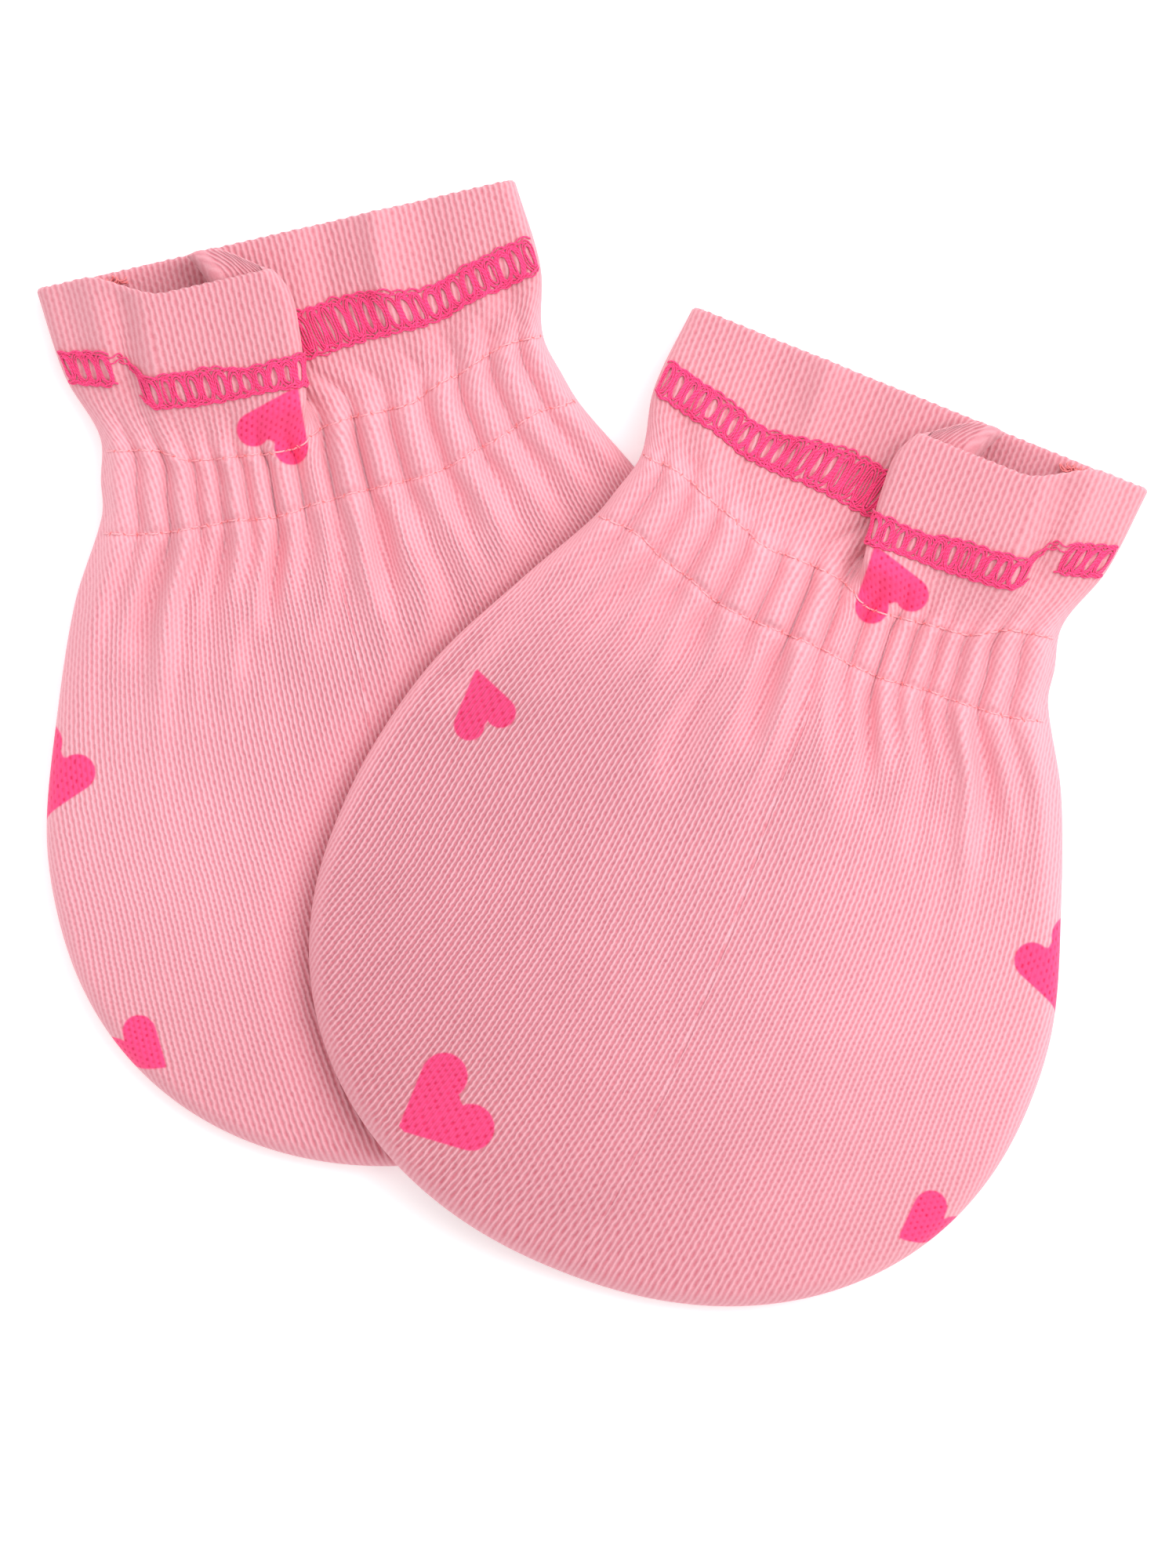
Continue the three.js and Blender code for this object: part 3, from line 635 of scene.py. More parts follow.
def spaced(*stops):
    """Values through stops, as (from, to, count) stretches, without repeats."""
    return np.unique(np.concatenate([np.linspace(a, b, n) for a, b, n in stops]))


def tip_rows(spare, count):
    angles = np.radians(np.linspace(0, 90, count))[1:-1]
    return WIDEST_ROW - (TIP["depth"] + spare) * np.sin(angles)


RIM_STEPS = 3


def rim_points(outer, inner, inner_neighbour, bulge):
    """Points of a rounded rim between the outer and the inner face, in strips from outer to inner."""
    middle = (outer + inner) / 2
    half = (outer - inner) / 2
    away = unit(middle - inner_neighbour)
    strips = []
    for k in range(1, RIM_STEPS + 1):
        angle = math.pi / 2 - math.pi * k / (RIM_STEPS + 1)
        strips.append(middle + half * math.sin(angle) + away * bulge[:, None] * math.cos(angle))
    return strips


def make_piece(name, side, points, faces, layer, uv, values={}):
    """An object from a mitten's own points, with one UV layer and values stored on its points."""
    mesh = bpy.data.meshes.new(name)
    mesh.from_pydata(placed(side, points).tolist(), [], faces)
    corners = np.empty(len(mesh.loops), int)
    mesh.loops.foreach_get("vertex_index", corners)
    mesh.uv_layers.new(name=layer).data.foreach_set("uv", uv[corners].astype(np.float32).ravel())
    for key, numbers in values.items():
        mesh.attributes.new(key, "FLOAT", "POINT").data.foreach_set("value", numbers.astype(np.float32))
    mesh.polygons.foreach_set("use_smooth", np.ones(len(mesh.polygons), bool))
    mesh.validate()
    mesh.update()
    piece = bpy.data.objects.new(name, mesh)
    bpy.context.scene.collection.objects.link(piece)
    return piece


# Columns of the pleat's turned-in edge, where the knit isn't drawn open.
TURNED_IN = 0.4


def make_shell(name, side, rows, columns, point_at, coordinates, print_at, outwards, pole_v):
    """A closed thin wall from a grid of points, outer face and inner face, with rounded rims."""
    x, v = np.meshgrid(columns, rows)
    thick = mix(WALL, HEM_WALL, smooth(HEM_FROM, HEM_FULL, v))
    pole_x, pole_row = np.array([[0.0]]), np.array([[pole_v]])
    outer = point_at(side, x, v)
    inner = point_at(side, x, v, thick)
    pole = [point_at(side, pole_x, pole_row)[0], point_at(side, pole_x, pole_row, np.array([[WALL]]))[0]]
    left, right = edges(v)
    across_laid = (x - (SEAM_LEFT + SEAM_RIGHT) / 2) * (right - left) / (SEAM_RIGHT - SEAM_LEFT)
    level = np.abs(unit(np.cross(np.gradient(outer, axis=1), np.gradient(outer, axis=0)))[..., 2])
    turned_in = (x > PLEAT["from"]) & (x < PLEAT["from"] + TURNED_IN)
    # How far the knit's gaps are darkened, less on steep faces. Besides the knit drawn open, it holds painted shade,
    # darker on the mitten's left and lighter on its right.
    drawn = openness_and_side_shade(across_laid, v) * level**3 * (1 - turned_in * smooth(8, 12, v))
    # Darker at the hem, and painted shade towards the tip.
    darker_hem_shaded_tip = darker_hem_and_shaded_tip(across_laid, v)

    # The rim goes down the left side, over the pole, up the right side and back along the cuff's top.
    across = x.shape[1]
    grid = np.arange(x.size).reshape(x.shape)
    size = x.size + 1
    points = np.concatenate([outer.reshape(-1, 3), pole[0], inner.reshape(-1, 3), pole[1]])
    rim = np.concatenate([grid[:, 0], [size - 1], grid[::-1, -1], grid[0, -2:0:-1]])
    beside = np.concatenate([grid[:, 1], [grid[-1, across // 2]], grid[::-1, -2], grid[1, -2:0:-1]])
    uv = np.concatenate([coordinates(x, v, outer).reshape(-1, 2), [[0.0, courses_at(pole_v)]]])
    waves = HEM_BULGE + RIM_BUMP * np.cos(2 * math.pi * uv[rim, 0])
    bulge = np.where(np.isin(rim, grid[0]), waves, SEAM_BULGE)
    strips = rim_points(points[rim], points[rim + size], (points[beside] + points[beside + size]) / 2, bulge)

    a = grid[:-1, :-1].ravel()
    quads = [
        np.stack([a, a + across, a + across + 1, a + 1], axis=1),
        np.stack([a, a + 1, a + across + 1, a + across], axis=1) + size,
    ]
    rings = [rim] + [np.arange(len(rim)) + 2 * size + k * len(rim) for k in range(RIM_STEPS)] + [rim + size]
    for here, there in zip(rings[:-1], rings[1:]):
        quads.append(np.stack([here, there, np.roll(there, -1), np.roll(here, -1)], axis=1))
    quads = np.concatenate(quads)
    last = grid[-1]
    fans = np.stack([last[:-1], np.full(across - 1, size - 1), last[1:]], axis=1)
    fans = np.concatenate([fans, fans[:, ::-1] + size])
    if outwards * PLACES[side]["mirror"] < 0:
        quads, fans = quads[:, ::-1], fans[:, ::-1]

    def on_all(values, inside):
        """Values of the outer face's points, the inner face's and the rim's strips."""
        return np.concatenate([values, inside] + [values[rim]] * RIM_STEPS)

    printed = np.append(print_at(x, v), NO_PRINT)
    values = {"printed": on_all(printed, np.full(size, NO_PRINT))}
    for key, numbers in (("drawn", drawn), ("darker_hem_shaded_tip", darker_hem_shaded_tip)):
        flat = np.append(numbers, numbers[-1, 0])
        values[key] = on_all(flat, flat)
    total = np.concatenate([points, *strips])
    return make_piece(name, side, total, quads.tolist() + fans.tolist(), "knit", on_all(uv, uv), values)


def front_coordinates(x, v, points):
    return np.stack([wale_at(x, v, front_plan(x, v), points), courses_at(v)], axis=-1)


def back_coordinates(x, v, _):
    pitch = mix(curve(WALES, 1, v), curve(CUFF_WALES, 1, v), smooth(CASING["bottom"], CASING["top"] + 3, v))
    return np.stack([(back_across(x, v) - curve(WALES, 2, v)) / pitch, courses_at(v)], axis=-1)


ROLL_ROOM = 2.6
FRONT_COLUMNS = spaced(
    (SEAM_LEFT, SEAM_LEFT + ROLL_ROOM, 11), (SEAM_LEFT + ROLL_ROOM, PLEAT["from"], 84),
    (PLEAT["from"], PLEAT["to"], 34), (PLEAT["to"], SEAM_RIGHT - ROLL_ROOM, 64),
    (SEAM_RIGHT - ROLL_ROOM, SEAM_RIGHT, 11),
)
FRONT_ROWS = np.concatenate([
    spaced((CUFF_TOP, 9, 34), (9, -4, 44), (-4, -20, 36), (-20, WIDEST_ROW, 36))[::-1],
    tip_rows(FRONT_ROLL * ROLL_SPARE, 62),
])
BACK_COLUMNS = spaced(
    (SEAM_LEFT, SEAM_LEFT + ROLL_ROOM, 9), (SEAM_LEFT + ROLL_ROOM, SEAM_RIGHT - ROLL_ROOM, 90),
    (SEAM_RIGHT - ROLL_ROOM, SEAM_RIGHT, 9),
)
BACK_ROWS = np.concatenate([
    spaced((CUFF_TOP, 9, 24), (9, -4, 26), (-4, WIDEST_ROW, 44))[::-1],
    tip_rows(BACK_ROLL * ROLL_SPARE, 46),
])


# Threads.
TUBE_SIDES = 6
# A thread that points up this steeply turns its ring by X instead of by Z.
UPRIGHT = 0.2


def tube(path, radius):
    """Points of a thread along a path, a ring at each point, and the faces between the rings."""
    along = unit(np.gradient(path, axis=0))
    across = np.cross(along, (0.0, 0.0, 1.0))
    upright = np.linalg.norm(across, axis=1) < UPRIGHT
    across[upright] = np.cross(along[upright], (1.0, 0.0, 0.0))
    across = unit(across)
    over = np.cross(across, along)
    angles = np.linspace(0, 2 * math.pi, TUBE_SIDES, endpoint=False)[:, None]
    points = path[:, None] + (across[:, None] * np.cos(angles) + over[:, None] * np.sin(angles)) * radius
    first = np.arange(len(path) - 1)[:, None] * TUBE_SIDES + np.arange(TUBE_SIDES)
    beside = np.roll(first, -1, axis=1)
    quads = np.stack([first, first + TUBE_SIDES, beside + TUBE_SIDES, beside], axis=-1).reshape(-1, 4)
    return points.reshape(-1, 3), quads


def make_threads(name, side, paths):
    """One piece from many threads, each a path in the mitten's own frame, a radius and a tone."""
    points, faces, uv = [], [], []
    count = 0
    for path, radius, tone in paths:
        tube_points, quads = tube(path, radius)
        turns = np.tile(np.arange(TUBE_SIDES) / TUBE_SIDES, len(path)) + tone
        points.append(tube_points)
        uv.append(np.stack([turns, np.repeat(run_along(path), TUBE_SIDES)], axis=1))
        end = count + len(tube_points)
        faces += (quads + count).tolist()
        faces += [list(range(count, count + TUBE_SIDES)), list(range(end - 1, end - 1 - TUBE_SIDES, -1))]
        count = end
    if PLACES[side]["mirror"] < 0:
        faces = [face[::-1] for face in faces]
    return make_piece(name, side, np.concatenate(points), faces, "thread", np.concatenate(uv))


PROBE = 0.03


def on_face(side, point_at, x, v, lift, outwards):
    """Points that stand off a panel's outer face by lift."""
    here = point_at(side, x, v)
    dx = point_at(side, x + PROBE, v) - here
    dv = point_at(side, x, v + PROBE) - here
    return here + unit(np.cross(dx, dv) * outwards) * lift[..., None]


# The overlock of the hem: its rows on the cloth by column, and how wide the gap in each loop is.
BAND_TOP = np.array([
    (23.5, 17.2), (18, 17.0), (15, 17.3), (10, 17.4), (6, 16.8), (1, 17.2), (-4.6, 17.8), (-9.6, 17.9), (-15.3, 16.6),
    (-20.3, 17.3), (-26.5, 17.6),
])
BAND_BOTTOM = np.array([
    (23.5, 13.9), (18, 14.1), (15, 14.2), (10, 14.3), (6, 14.3), (1, 13.9), (-4.6, 14.2), (-9.6, 14.3), (-15.3, 13.8),
    (-20.3, 14.2), (-26.5, 14.0),
])
BAND_GAP = np.array([
    (23.5, 0.26), (15, 0.3), (9, 0.24), (5, 0.32), (1, 0.33), (-1, 0.1), (-6, 0.14), (-9, 0.26), (-16, 0.3),
    (-26.5, 0.27),
])
BAND_PITCH = 1.42
BAND_THREAD = 0.105
BAND_LEAN = 0.3
BAND_STEP = (15.9, 18.2)
LOOP_POINTS = 19
LOOPS = 3


def band_row(x, share):
    return mix(curve(BAND_BOTTOM, 1, x), curve(BAND_TOP, 1, x), share)


# A sewn row ends this far from the seam, and is measured along the cloth at this many points.
SEWN_ROOM = 1.0
ROW_POINTS = 1200
# The back's threads keep this far off the surface.
THREAD_ROOM = 0.03


class Sewing:
    """Threads on a panel's outer face, gathered first and then laid on it all at once."""

    def __init__(self, side, point_at, outwards, row):
        self.side, self.point_at, self.outwards = side, point_at, outwards
        self.columns = np.linspace(SEAM_LEFT + SEWN_ROOM, SEAM_RIGHT - SEWN_ROOM, ROW_POINTS)
        self.run = run_along(point_at(side, self.columns[None], np.full((1, ROW_POINTS), row))[0])
        self.threads = []

    def column_at(self, s):
        """The columns at distances s along the row's cloth."""
        return np.interp(s, self.run, self.columns)

    def add(self, s, row_at, lift, radius, tone=0):
        """A thread through distances s along the row. row_at gives its rows from its columns."""
        x = self.column_at(s)
        self.threads.append((x, row_at(x), lift, radius, tone))

    def paths(self):
        x, v, lift, radii, tones = zip(*self.threads)
        points = on_face(self.side, self.point_at, np.array(x), np.array(v), np.array(lift), self.outwards)
        if self.outwards < 0:
            points[..., 2] = np.maximum(points[..., 2], np.array(radii)[:, None] + THREAD_ROOM)
        return list(zip(points, radii, tones))


def hem_threads(side, point_at, outwards, seed):
    """The hem's overlock: leaning oval loops, a wavy rail along their tops and a chain along their feet."""
    rng = np.random.default_rng(seed)
    sewing = Sewing(side, point_at, outwards, 15.8)
    total = sewing.run[-1]
    count = int(total / BAND_PITCH)
    pitch = total / count
    angle = np.linspace(-math.pi / 2, 1.5 * math.pi, LOOP_POINTS)
    t = np.linspace(0, 1, LOOP_POINTS)
    bow = np.sin(math.pi * t)

    def lay(s, share, lift, radius):
        sewing.add(s, lambda x: band_row(x, share), lift, radius)

    for k in range(count):
        middle = (k + 0.5) * pitch + rng.uniform(-0.1, 0.1)
        lean = BAND_LEAN + rng.uniform(-0.35, 0.45)
        tall = rng.uniform(0.94, 1.06)
        column = float(sewing.column_at(middle))
        gap = float(curve(BAND_GAP, 1, column)) * rng.uniform(0.7, 1.3)
        if outwards > 0 and BAND_STEP[0] < column < BAND_STEP[1]:
            for row in (0.9, 0.73):
                wavy = row + 0.06 * np.sin(7 * t + k)
                lay(middle + (t * 1.5 - 0.75) * pitch, wavy, 0.12 + 0.1 * bow, BAND_THREAD * 0.8)
            continue
        for ring in range(LOOPS):
            share = ring / (LOOPS - 1)
            wide = (gap + (0.54 - gap) * share) * pitch * rng.uniform(0.9, 1.1)
            high = 0.5 * tall * mix(0.74, 1.0, share) + rng.uniform(-0.03, 0.03)
            fat = BAND_THREAD * rng.uniform(0.75, 1.25)
            up = np.sin(angle)
            wobble = sum(size * np.sin(n * angle + rng.uniform(0, 6.3)) for size, n in ((0.05, 2), (0.03, 5)))
            s = middle + wide * np.cos(angle) + lean * high * up + wobble
            lift = 0.08 + 0.08 * (1 - share) + 0.1 * up**2 + rng.uniform(-0.03, 0.03)
            lay(s, 0.49 + high * np.sign(up) * np.abs(up) ** 0.8, lift, fat)
        start = middle - 0.7 * pitch
        rail = start + t * 1.4 * pitch
        top = rail + lean * 0.5
        foot = 0.02 + 0.05 * np.sin(2 * math.pi * t) + rng.uniform(-0.03, 0.03)
        lay(rail, foot, 0.14 + 0.16 * bow, BAND_THREAD * 1.05)
        lay(rail + 0.5 * pitch, -0.02 - foot * 0.7, 0.1 + 0.14 * bow, BAND_THREAD * 0.9)
        lay(top, 0.92 + 0.13 * bow + rng.uniform(-0.04, 0.04), 0.12 + 0.16 * bow, BAND_THREAD)
        row = 0.9 + 0.08 * bow + rng.uniform(-0.03, 0.03)
        lay(top + 0.4 * pitch, row, 0.1 + 0.12 * bow, BAND_THREAD * 0.9)
    return sewing.paths()


WRIST_STITCH = 1.75
WRIST_THREAD = 0.1
NEEDLE_THREAD = 0.09
# Threads whose coordinate around them is moved this far are coral.
CORAL = 4


def wrist_threads(side, point_at, outwards, seed):
    """Two rows of straight stitches that hold the casing, each with a coral loop of the under thread at its end."""
    rng = np.random.default_rng(seed)
    paths = []
    t = np.linspace(0, 1, 7)
    for table in (ROW_TOP, ROW_BOTTOM):
        sewing = Sewing(side, point_at, outwards, float(curve(table, 1, 0.0)))
        count = int(sewing.run[-1] / WRIST_STITCH)
        pitch = sewing.run[-1] / count
        for k in range(count):
            wander = rng.uniform(-0.1, 0.1)
            slack = rng.uniform(0.0, 0.1)

            def row_at(x):
                return curve(table, 1, x) + wander

            lift = -0.14 + (0.18 + slack) * np.sin(math.pi * t) ** 0.6
            sewing.add((k + 0.06 + 0.88 * t) * pitch, row_at, lift, WRIST_THREAD)
            if outwards > 0:
                reach = rng.uniform(0.12, 0.24)
                lean = rng.uniform(-0.5, 0.5)
                low_bow = -0.05 + 0.08 * np.sin(math.pi * t)
                s = (k + (t - 0.5) * reach) * pitch
                sewing.add(s, lambda x: row_at(x) + lean * (t - 0.5), low_bow, NEEDLE_THREAD, CORAL)
        paths += sewing.paths()
    return paths


INSIDE_THREAD = {"from": 16.2, "to": 21.2, "row": 22.9, "count": 9, "radius": 0.09, "over": 1.45, "apart": 0.09}


def inside_threads(seed):
    """The loose end of the hem's under thread, inside the mouth."""
    rng = np.random.default_rng(seed)
    t = np.linspace(0, 1, 25)
    paths = []
    for k in range(INSIDE_THREAD["count"]):
        low = INSIDE_THREAD["from"] + rng.uniform(0, 1.6)
        high = INSIDE_THREAD["to"] - rng.uniform(0, 1.6)
        turns = rng.uniform(2, 4)
        phase = rng.uniform(0, 2 * math.pi)
        x = mix(low, high, t) + 0.25 * np.cos(2 * math.pi * turns * t + phase)
        y = INSIDE_THREAD["row"] + 0.3 * np.sin(2 * math.pi * turns * t + phase) + rng.uniform(-0.35, 0.25)
        z = INSIDE_THREAD["over"] + INSIDE_THREAD["apart"] * k + 0.12 * np.sin(4 * math.pi * turns * t)
        paths.append((np.stack([x, y, z], axis=1), INSIDE_THREAD["radius"], CORAL))
    return paths


# Materials.
WHOLE_TURN = 2 * math.pi


class Value:
    """A number in a material's nodes. Arithmetic on it adds math nodes."""

    def __init__(self, tree, socket):
        self.tree, self.socket = tree, socket

    def math(self, operation, *values, clamp=False):
        node = self.tree.nodes.new("ShaderNodeMath")
        node.operation = operation
        node.use_clamp = clamp
        for socket, value in zip(node.inputs, values):
            put(self.tree, socket, value)
        return Value(self.tree, node.outputs[0])

    def __add__(self, other):
        return self.math("ADD", self, other)

    def __sub__(self, other):
        return self.math("SUBTRACT", self, other)

    def __rsub__(self, other):
        return self.math("SUBTRACT", other, self)

    def __mul__(self, other):
        return self.math("MULTIPLY", self, other)

    def step(self, low, high):
        node = self.tree.nodes.new("ShaderNodeMapRange")
        node.interpolation_type = "SMOOTHSTEP"
        put(self.tree, node.inputs["Value"], self)
        node.inputs["From Min"].default_value = low
        node.inputs["From Max"].default_value = high
        return Value(self.tree, node.outputs["Result"])

    def bell(self, width):
        """exp(-(value / width)^2)"""
        share = self.math("DIVIDE", self, width)
        return self.math("POWER", math.e, share * share * -1.0)

    def wave(self, operation, turn=WHOLE_TURN):
        """The sine or cosine of the value, which counts whole turns or another angle."""
        return self.math(operation, self * turn)


def put(tree, socket, value):
    """Sets a socket, or links it to a value that nodes work out."""
    if isinstance(value, Value):
        tree.links.new(value.socket, socket)
    else:
        socket.default_value = value


class Surface:
    """Short ways to build a node material."""

    def __init__(self, name, roughness, sheen=0.0, sheen_tint=(1, 1, 1, 1)):
        self.material = bpy.data.materials.new(name)
        self.material.use_nodes = True
        self.tree = self.material.node_tree
        self.shader = next(n for n in self.tree.nodes if n.type == "BSDF_PRINCIPLED")
        self.shader.inputs["Roughness"].default_value = roughness
        self.shader.inputs["Specular IOR Level"].default_value = 0.25
        self.shader.inputs["Sheen Weight"].default_value = sheen
        self.shader.inputs["Sheen Roughness"].default_value = 0.5
        self.shader.inputs["Sheen Tint"].default_value = sheen_tint
        self.place = self.tree.nodes.new("ShaderNodeTexCoord").outputs["Object"]

    def coordinates(self, layer):
        node = self.tree.nodes.new("ShaderNodeUVMap")
        node.uv_map = layer
        split = self.tree.nodes.new("ShaderNodeSeparateXYZ")
        self.tree.links.new(node.outputs["UV"], split.inputs[0])
        return Value(self.tree, split.outputs[0]), Value(self.tree, split.outputs[1])

    def attribute(self, name):
        node = self.tree.nodes.new("ShaderNodeAttribute")
        node.attribute_name = name
        return Value(self.tree, node.outputs["Fac"])

    def noise(self, scale, detail=2.0):
        """Noise over the piece's own place, so that it is the same size everywhere."""
        node = self.tree.nodes.new("ShaderNodeTexNoise")
        self.tree.links.new(self.place, node.inputs["Vector"])
        node.inputs["Scale"].default_value = scale
        node.inputs["Detail"].default_value = detail
        return Value(self.tree, node.outputs["Fac"])

    def mix(self, share, a, b, mode="MIX"):
        """Two colours mixed. The node names a socket once per data type, so the colour ones go by their place."""
        node = self.tree.nodes.new("ShaderNodeMix")
        node.data_type = "RGBA"
        node.blend_type = mode
        for place, value in ((0, share), (6, a), (7, b)):
            put(self.tree, node.inputs[place], value)
        return Value(self.tree, node.outputs[2])

    def finish(self, colour, height=None, distance=0.0002, strength=1.0):
        put(self.tree, self.shader.inputs["Base Color"], colour)
        if height is not None:
            bump = self.tree.nodes.new("ShaderNodeBump")
            bump.inputs["Strength"].default_value = strength
            bump.inputs["Distance"].default_value = distance
            put(self.tree, bump.inputs["Height"], height)
            self.tree.links.new(bump.outputs["Normal"], self.shader.inputs["Normal"])
        return self.material


def linear(red, green, blue):
    """A screen colour, 0 to 255, as the shader takes it."""
    values = [c / 255 for c in (red, green, blue)]
    return tuple(v / 12.92 if v < 0.04045 else ((v + 0.055) / 1.055) ** 2.4 for v in values) + (1.0,)


# The knit's colours follow its relief: pale on the legs, with painted shade off them, in the channels and in the
# holes.
KNIT_LEG = linear(240, 176, 187)
KNIT_MIDDLE = linear(229, 153, 165)
KNIT_CHANNEL_SHADE = linear(216, 116, 131)
KNIT_HOLE_SHADE = linear(194, 88, 106)
# Darker at the hem, and painted shade towards the tip.
KNIT_DARKER_HEM_SHADED_TIP = (0.91, 0.86, 0.86, 1.0)
# The print, with painted shade in the knit's holes.
PRINT_LEG = linear(253, 72, 130)
PRINT_HOLE_SHADE = linear(218, 20, 78)
# Threads: the second colour of each pair is painted shade in the grooves between the twisted strands.
HEM_PINK = linear(251, 80, 140)
HEM_GROOVE_SHADE = linear(236, 42, 106)
WRIST_BRIGHT = linear(248, 180, 188)
WRIST_GROOVE_SHADE = linear(246, 158, 168)
CORAL_BRIGHT = linear(246, 150, 152)
CORAL_GROOVE_SHADE = linear(234, 108, 114)
# Turns of a thread's strands in a millimetre.
THREAD_TURNS = 2.2


def knit_material(name):
    """Jersey knit: two pale legs to a wale, and gaps both inside it and beside it, half a course apart. Away from the
    raised legs the colour is painted shade, deepest in the gaps and their holes.
    """
    surface = Surface(name, roughness=0.9, sheen=0.3, sheen_tint=linear(255, 220, 226))
    wale, course = surface.coordinates("knit")
    wale = wale + (surface.noise(800.0) - 0.5) * 0.2
    course = course + (surface.noise(500.0) - 0.5) * 0.35
    aside = wale.math("ABSOLUTE", wale.math("FRACT", wale) - 0.5)
    turn = course.wave("COSINE")
    leg = (aside - (turn * 0.035 + 0.25)).bell(0.15)
    uneven = surface.noise(1400.0, 1.0).step(0.3, 0.7) * 0.6 + 0.4
    # How far the knit's gaps are darkened, with painted shade darker on the mitten's left and lighter on its right.
    drawn = surface.attribute("drawn")

    def gap(distance, width, turned, least):
        """A gap: a column with spots along it, at the given distance from its middle, which gets painted shade and
        sinks the bump.
        """
        spots = turned.step(-0.5, 0.9) * uneven
        return distance.bell(width) * (spots * (1 - least) + least), spots

    inner, inner_spots = gap(aside, 0.115, turn, 0.68)
    outer, outer_spots = gap(0.5 - aside, 0.12, turn * -1.0, 0.8)
    # Where shade is painted in the gaps and their holes; the gaps also sink the bump.
    dark = drawn.math("MULTIPLY", inner + outer, drawn, clamp=True)
    recess_shade = drawn.math("MULTIPLY", inner * inner_spots + outer * (outer_spots * 0.7), drawn, clamp=True)
    between = drawn.math("ADD", inner * inner_spots, outer * outer_spots, clamp=True)
    fuzz = surface.noise(5200.0, 3.0)
    height = (leg - dark * 0.6) * drawn + fuzz * 0.25
    printed = 1.0 - surface.attribute("printed").step(-0.12, 0.16)
    # Painted shade off the legs, in the channels and in the holes.
    colour = surface.mix(leg, KNIT_MIDDLE, KNIT_LEG)
    colour = surface.mix(dark * 0.85, colour, KNIT_CHANNEL_SHADE)
    colour = surface.mix(recess_shade * 0.48, colour, KNIT_HOLE_SHADE)
    # Darker at the hem, and painted shade towards the tip.
    colour = surface.mix(surface.attribute("darker_hem_shaded_tip"), colour, KNIT_DARKER_HEM_SHADED_TIP, "MULTIPLY")
    # The print, with painted shade in the knit's holes.
    colour = surface.mix(printed, colour, surface.mix(between, PRINT_LEG, PRINT_HOLE_SHADE))
    shade = (fuzz * 0.22 + 0.89) * (surface.noise(110.0, 3.0) * 0.12 + 0.94)
    grey = surface.tree.nodes.new("ShaderNodeCombineColor")
    for socket in grey.inputs:
        put(surface.tree, socket, shade)
    colour = surface.mix(1.0, colour, Value(surface.tree, grey.outputs[0]), "MULTIPLY")
    return surface.finish(colour, height, distance=0.00012)


def thread_material(name, bright, recess_shade):
    """A twisted thread, with painted shade in the grooves between its strands, and coral in place of its own colours
    where its coordinate says so.
    """
    surface = Surface(name, roughness=0.6, sheen=0.2, sheen_tint=(1, 0.9, 0.95, 1))
    around, along = surface.coordinates("thread")
    twist = along * THREAD_TURNS + around * 2.0
    strand = twist.math("ABSOLUTE", twist.wave("SINE", math.pi))
    fuzz = surface.noise(4200.0, 3.0)
    share = strand.math("MULTIPLY", strand, fuzz * 0.6 + 0.6, clamp=True)
    # Painted shade in the grooves between the strands.
    colour = surface.mix(share, recess_shade, bright)
    coral = surface.mix(share, CORAL_GROOVE_SHADE, CORAL_BRIGHT)
    colour = surface.mix(around.step(CORAL - 1.5, CORAL - 1.4), colour, coral)
    return surface.finish(colour, strand + fuzz * 0.4, distance=0.00003, strength=0.7)


def elastic_material():
    surface = Surface("elastic_weave", roughness=0.8)
    _, along = surface.coordinates("thread")
    rib = along.math("ABSOLUTE", along.wave("SINE"))
    # Darker between the ribs: painted shade in the grooves of the weave.
    return surface.finish(surface.mix(rib, linear(228, 208, 212), linear(250, 236, 238)), rib, distance=0.0001)


knit_front = knit_material("cotton_knit_front")
knit_back = knit_material("cotton_knit_back")
hem_thread = thread_material("hem_thread_pink", HEM_PINK, HEM_GROOVE_SHADE)
wrist_thread = thread_material("wrist_thread_pink", WRIST_BRIGHT, WRIST_GROOVE_SHADE)
elastic_weave = elastic_material()


def dress(piece, material):
    piece.data.materials.clear()
    piece.data.materials.append(material)
    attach(piece, "root")
    return piece


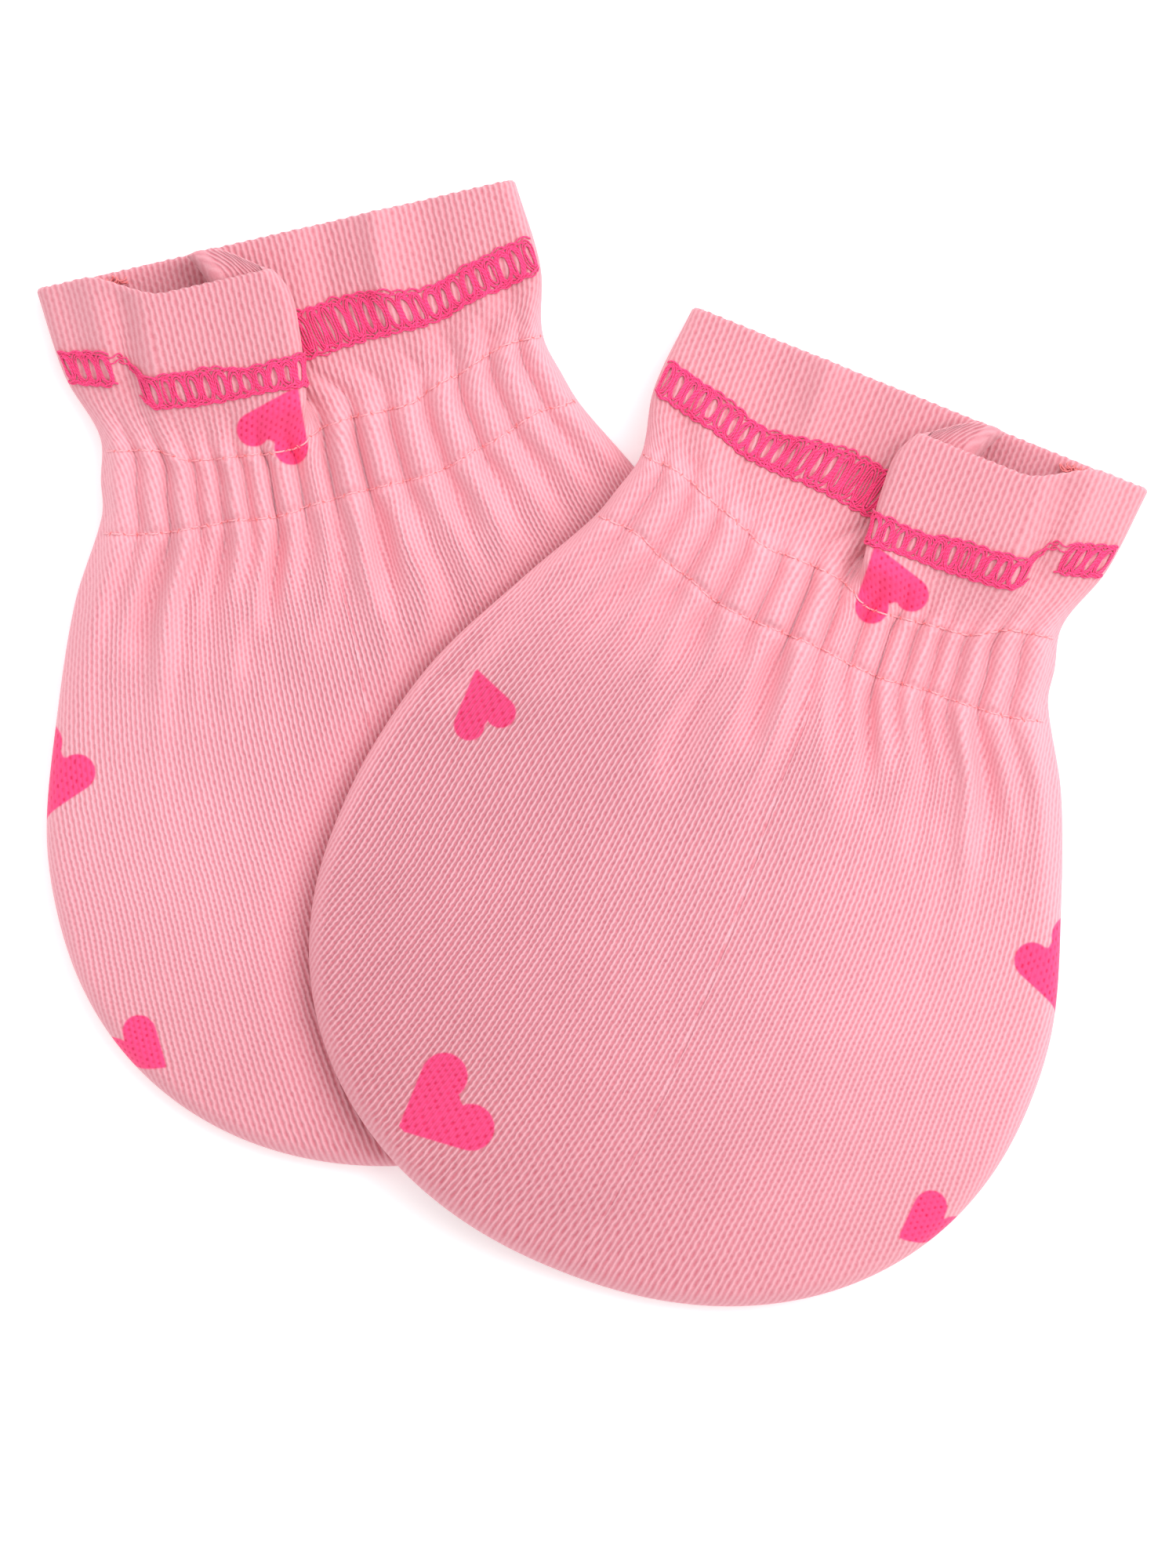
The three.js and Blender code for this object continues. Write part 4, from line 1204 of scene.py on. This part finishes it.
def make_elastic(side):
    """The wrist elastic, a flat ring whose upper strand is pulled down with the front of the casing."""
    middle = (CASING["top"] + CASING["bottom"]) / 2
    left, right = edges(middle)
    left, right = float(left) + ELASTIC["side_room"], float(right) - ELASTIC["side_room"]
    radius = (ELASTIC["high"] - ELASTIC["low"]) / 2
    centre = (ELASTIC["high"] + ELASTIC["low"]) / 2
    straight, turn = 80, 8
    xs = np.concatenate([
        np.linspace(left, right, straight), np.full(turn - 1, right), np.linspace(right, left, straight),
        np.full(turn - 1, left),
    ])
    angles = np.radians(np.concatenate([
        np.full(straight, 90.0), np.linspace(90, -90, turn + 1)[1:-1], np.full(straight, -90.0),
        np.linspace(-90, -270, turn + 1)[1:-1],
    ]))
    on_front = np.concatenate([np.ones(straight), np.zeros(len(xs) - straight)])
    wrist = mix(SEAM_LEFT, SEAM_RIGHT, (xs - left) / (right - left))
    down = on_front * pulled_down(wrist, np.full_like(xs, middle))
    full = on_front * ELASTIC["rise"] * fullness_at(middle, np.minimum(xs - left, right - xs))
    ribs = np.arange(ELASTIC["ribs"] + 1)
    dents = ELASTIC["rib_dent"] * (ribs % 2)
    r = np.concatenate([radius - dents, (radius - ELASTIC["thick"] + dents)[::-1]])
    across = -1 + 2 * np.concatenate([ribs, ribs[::-1]]) / ELASTIC["ribs"]
    points = np.stack([
        xs[:, None] + r * np.cos(angles)[:, None],
        (middle - down)[:, None] + across * ELASTIC["half_width"],
        (centre + full)[:, None] + r * np.sin(angles)[:, None],
    ], axis=-1)
    stations, around = points.shape[:2]
    first = np.arange(stations * around).reshape(stations, around)
    after = np.roll(first, -1, axis=0)
    quads = np.stack([first, after, np.roll(after, -1, axis=1), np.roll(first, -1, axis=1)], axis=-1).reshape(-1, 4)
    if PLACES[side]["mirror"] < 0:
        quads = quads[:, ::-1]
    along = np.repeat(np.arange(stations) * ELASTIC["weave"], around)
    uv = np.stack([np.tile(np.arange(around) / around, stations), along], axis=1)
    return make_piece(f"{side}_elastic_ring", side, points.reshape(-1, 3), quads.tolist(), "thread", uv)


FRONT_POLE = WIDEST_ROW - TIP["depth"] - FRONT_ROLL * ROLL_SPARE
BACK_POLE = WIDEST_ROW - TIP["depth"] - BACK_ROLL * ROLL_SPARE

for side in ("left", "right"):
    front = make_shell(
        f"{side}_front_cloth", side, FRONT_ROWS, FRONT_COLUMNS, front_point, front_coordinates, front_print, 1,
        FRONT_POLE,
    )
    back = make_shell(
        f"{side}_back_cloth", side, BACK_ROWS, BACK_COLUMNS, back_point, back_coordinates, back_print, -1, BACK_POLE
    )
    dress(front, knit_front)
    dress(back, knit_back)
    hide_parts(f"{side}_front")
    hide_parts(f"{side}_back")
    seed = 11 if side == "right" else 12
    hem = make_threads(f"{side}_hem_stitches", side, hem_threads(side, front_point, 1, seed))
    hem_under = make_threads(f"{side}_hem_stitches_back", side, hem_threads(side, back_point, -1, seed + 10))
    wrist_paths = wrist_threads(side, front_point, 1, seed + 20) + inside_threads(seed + 40)
    wrist = make_threads(f"{side}_wrist_stitches", side, wrist_paths)
    wrist_under = make_threads(f"{side}_wrist_stitches_back", side, wrist_threads(side, back_point, -1, seed + 30))
    for piece in (hem, hem_under):
        dress(piece, hem_thread)
    for piece in (wrist, wrist_under):
        dress(piece, wrist_thread)
    ring = dress(make_elastic(side), elastic_weave)
    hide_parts(f"{side}_wrist_elastic")


# Floor, lights and camera, in metres.
FLOOR_GLOW = 0.24
FLOOR_GAP = 0.0001


def make_floor():
    mesh = bpy.data.meshes.new("floor")
    reach = 3.0
    corners = [(-reach, -reach, 0), (reach, -reach, 0), (reach, reach, 0), (-reach, reach, 0)]
    mesh.from_pydata(corners, [], [(0, 1, 2, 3)])
    floor = bpy.data.objects.new("floor", mesh)
    bpy.context.scene.collection.objects.link(floor)
    surface = Surface("floor_paper", roughness=0.9)
    colour = surface.mix(surface.noise(60.0), (0.93, 0.93, 0.93, 1), (0.95, 0.95, 0.95, 1))
    surface.shader.inputs["Emission Color"].default_value = (1, 1, 1, 1)
    surface.shader.inputs["Emission Strength"].default_value = FLOOR_GLOW
    floor.data.materials.append(surface.finish(colour))
    floor.location.z = -FLOOR_GAP


def make_light(name, place, size, power):
    """A square light that faces the middle of the pair."""
    data = bpy.data.lights.new(name, "AREA")
    data.size = size
    data.energy = power
    light = bpy.data.objects.new(name, data)
    bpy.context.scene.collection.objects.link(light)
    light.location = place
    light.rotation_euler = light.location.to_track_quat("Z", "Y").to_euler()


def make_world(strength):
    world = bpy.data.worlds.new("studio")
    world.use_nodes = True
    background = world.node_tree.nodes["Background"]
    background.inputs["Color"].default_value = (1, 1, 1, 1)
    background.inputs["Strength"].default_value = strength
    bpy.context.scene.world = world


FRAME_MIDDLE = (-0.00045, -0.00426)
FRAME_HEIGHT = 0.168
CAMERA_AWAY = 1.5
CAMERA_SENSOR = 36.0
MITTEN_LEVEL = 0.006


def make_camera():
    data = bpy.data.cameras.new("camera")
    data.sensor_fit = "VERTICAL"
    data.sensor_height = CAMERA_SENSOR
    data.lens = CAMERA_SENSOR * CAMERA_AWAY / FRAME_HEIGHT
    data.clip_end = 20
    camera = bpy.data.objects.new("camera", data)
    bpy.context.scene.collection.objects.link(camera)
    camera.location = (*FRAME_MIDDLE, MITTEN_LEVEL + CAMERA_AWAY)
    bpy.context.scene.camera = camera


make_floor()
make_light("key", (0.56, 0.22, 0.74), 0.7, 5.2)
make_light("fill", (-0.12, 0.6, 0.8), 1.0, 3.1)
make_world(0.81)
make_camera()
bpy.context.scene.view_settings.view_transform = "Standard"

bpy.context.view_layer.update()
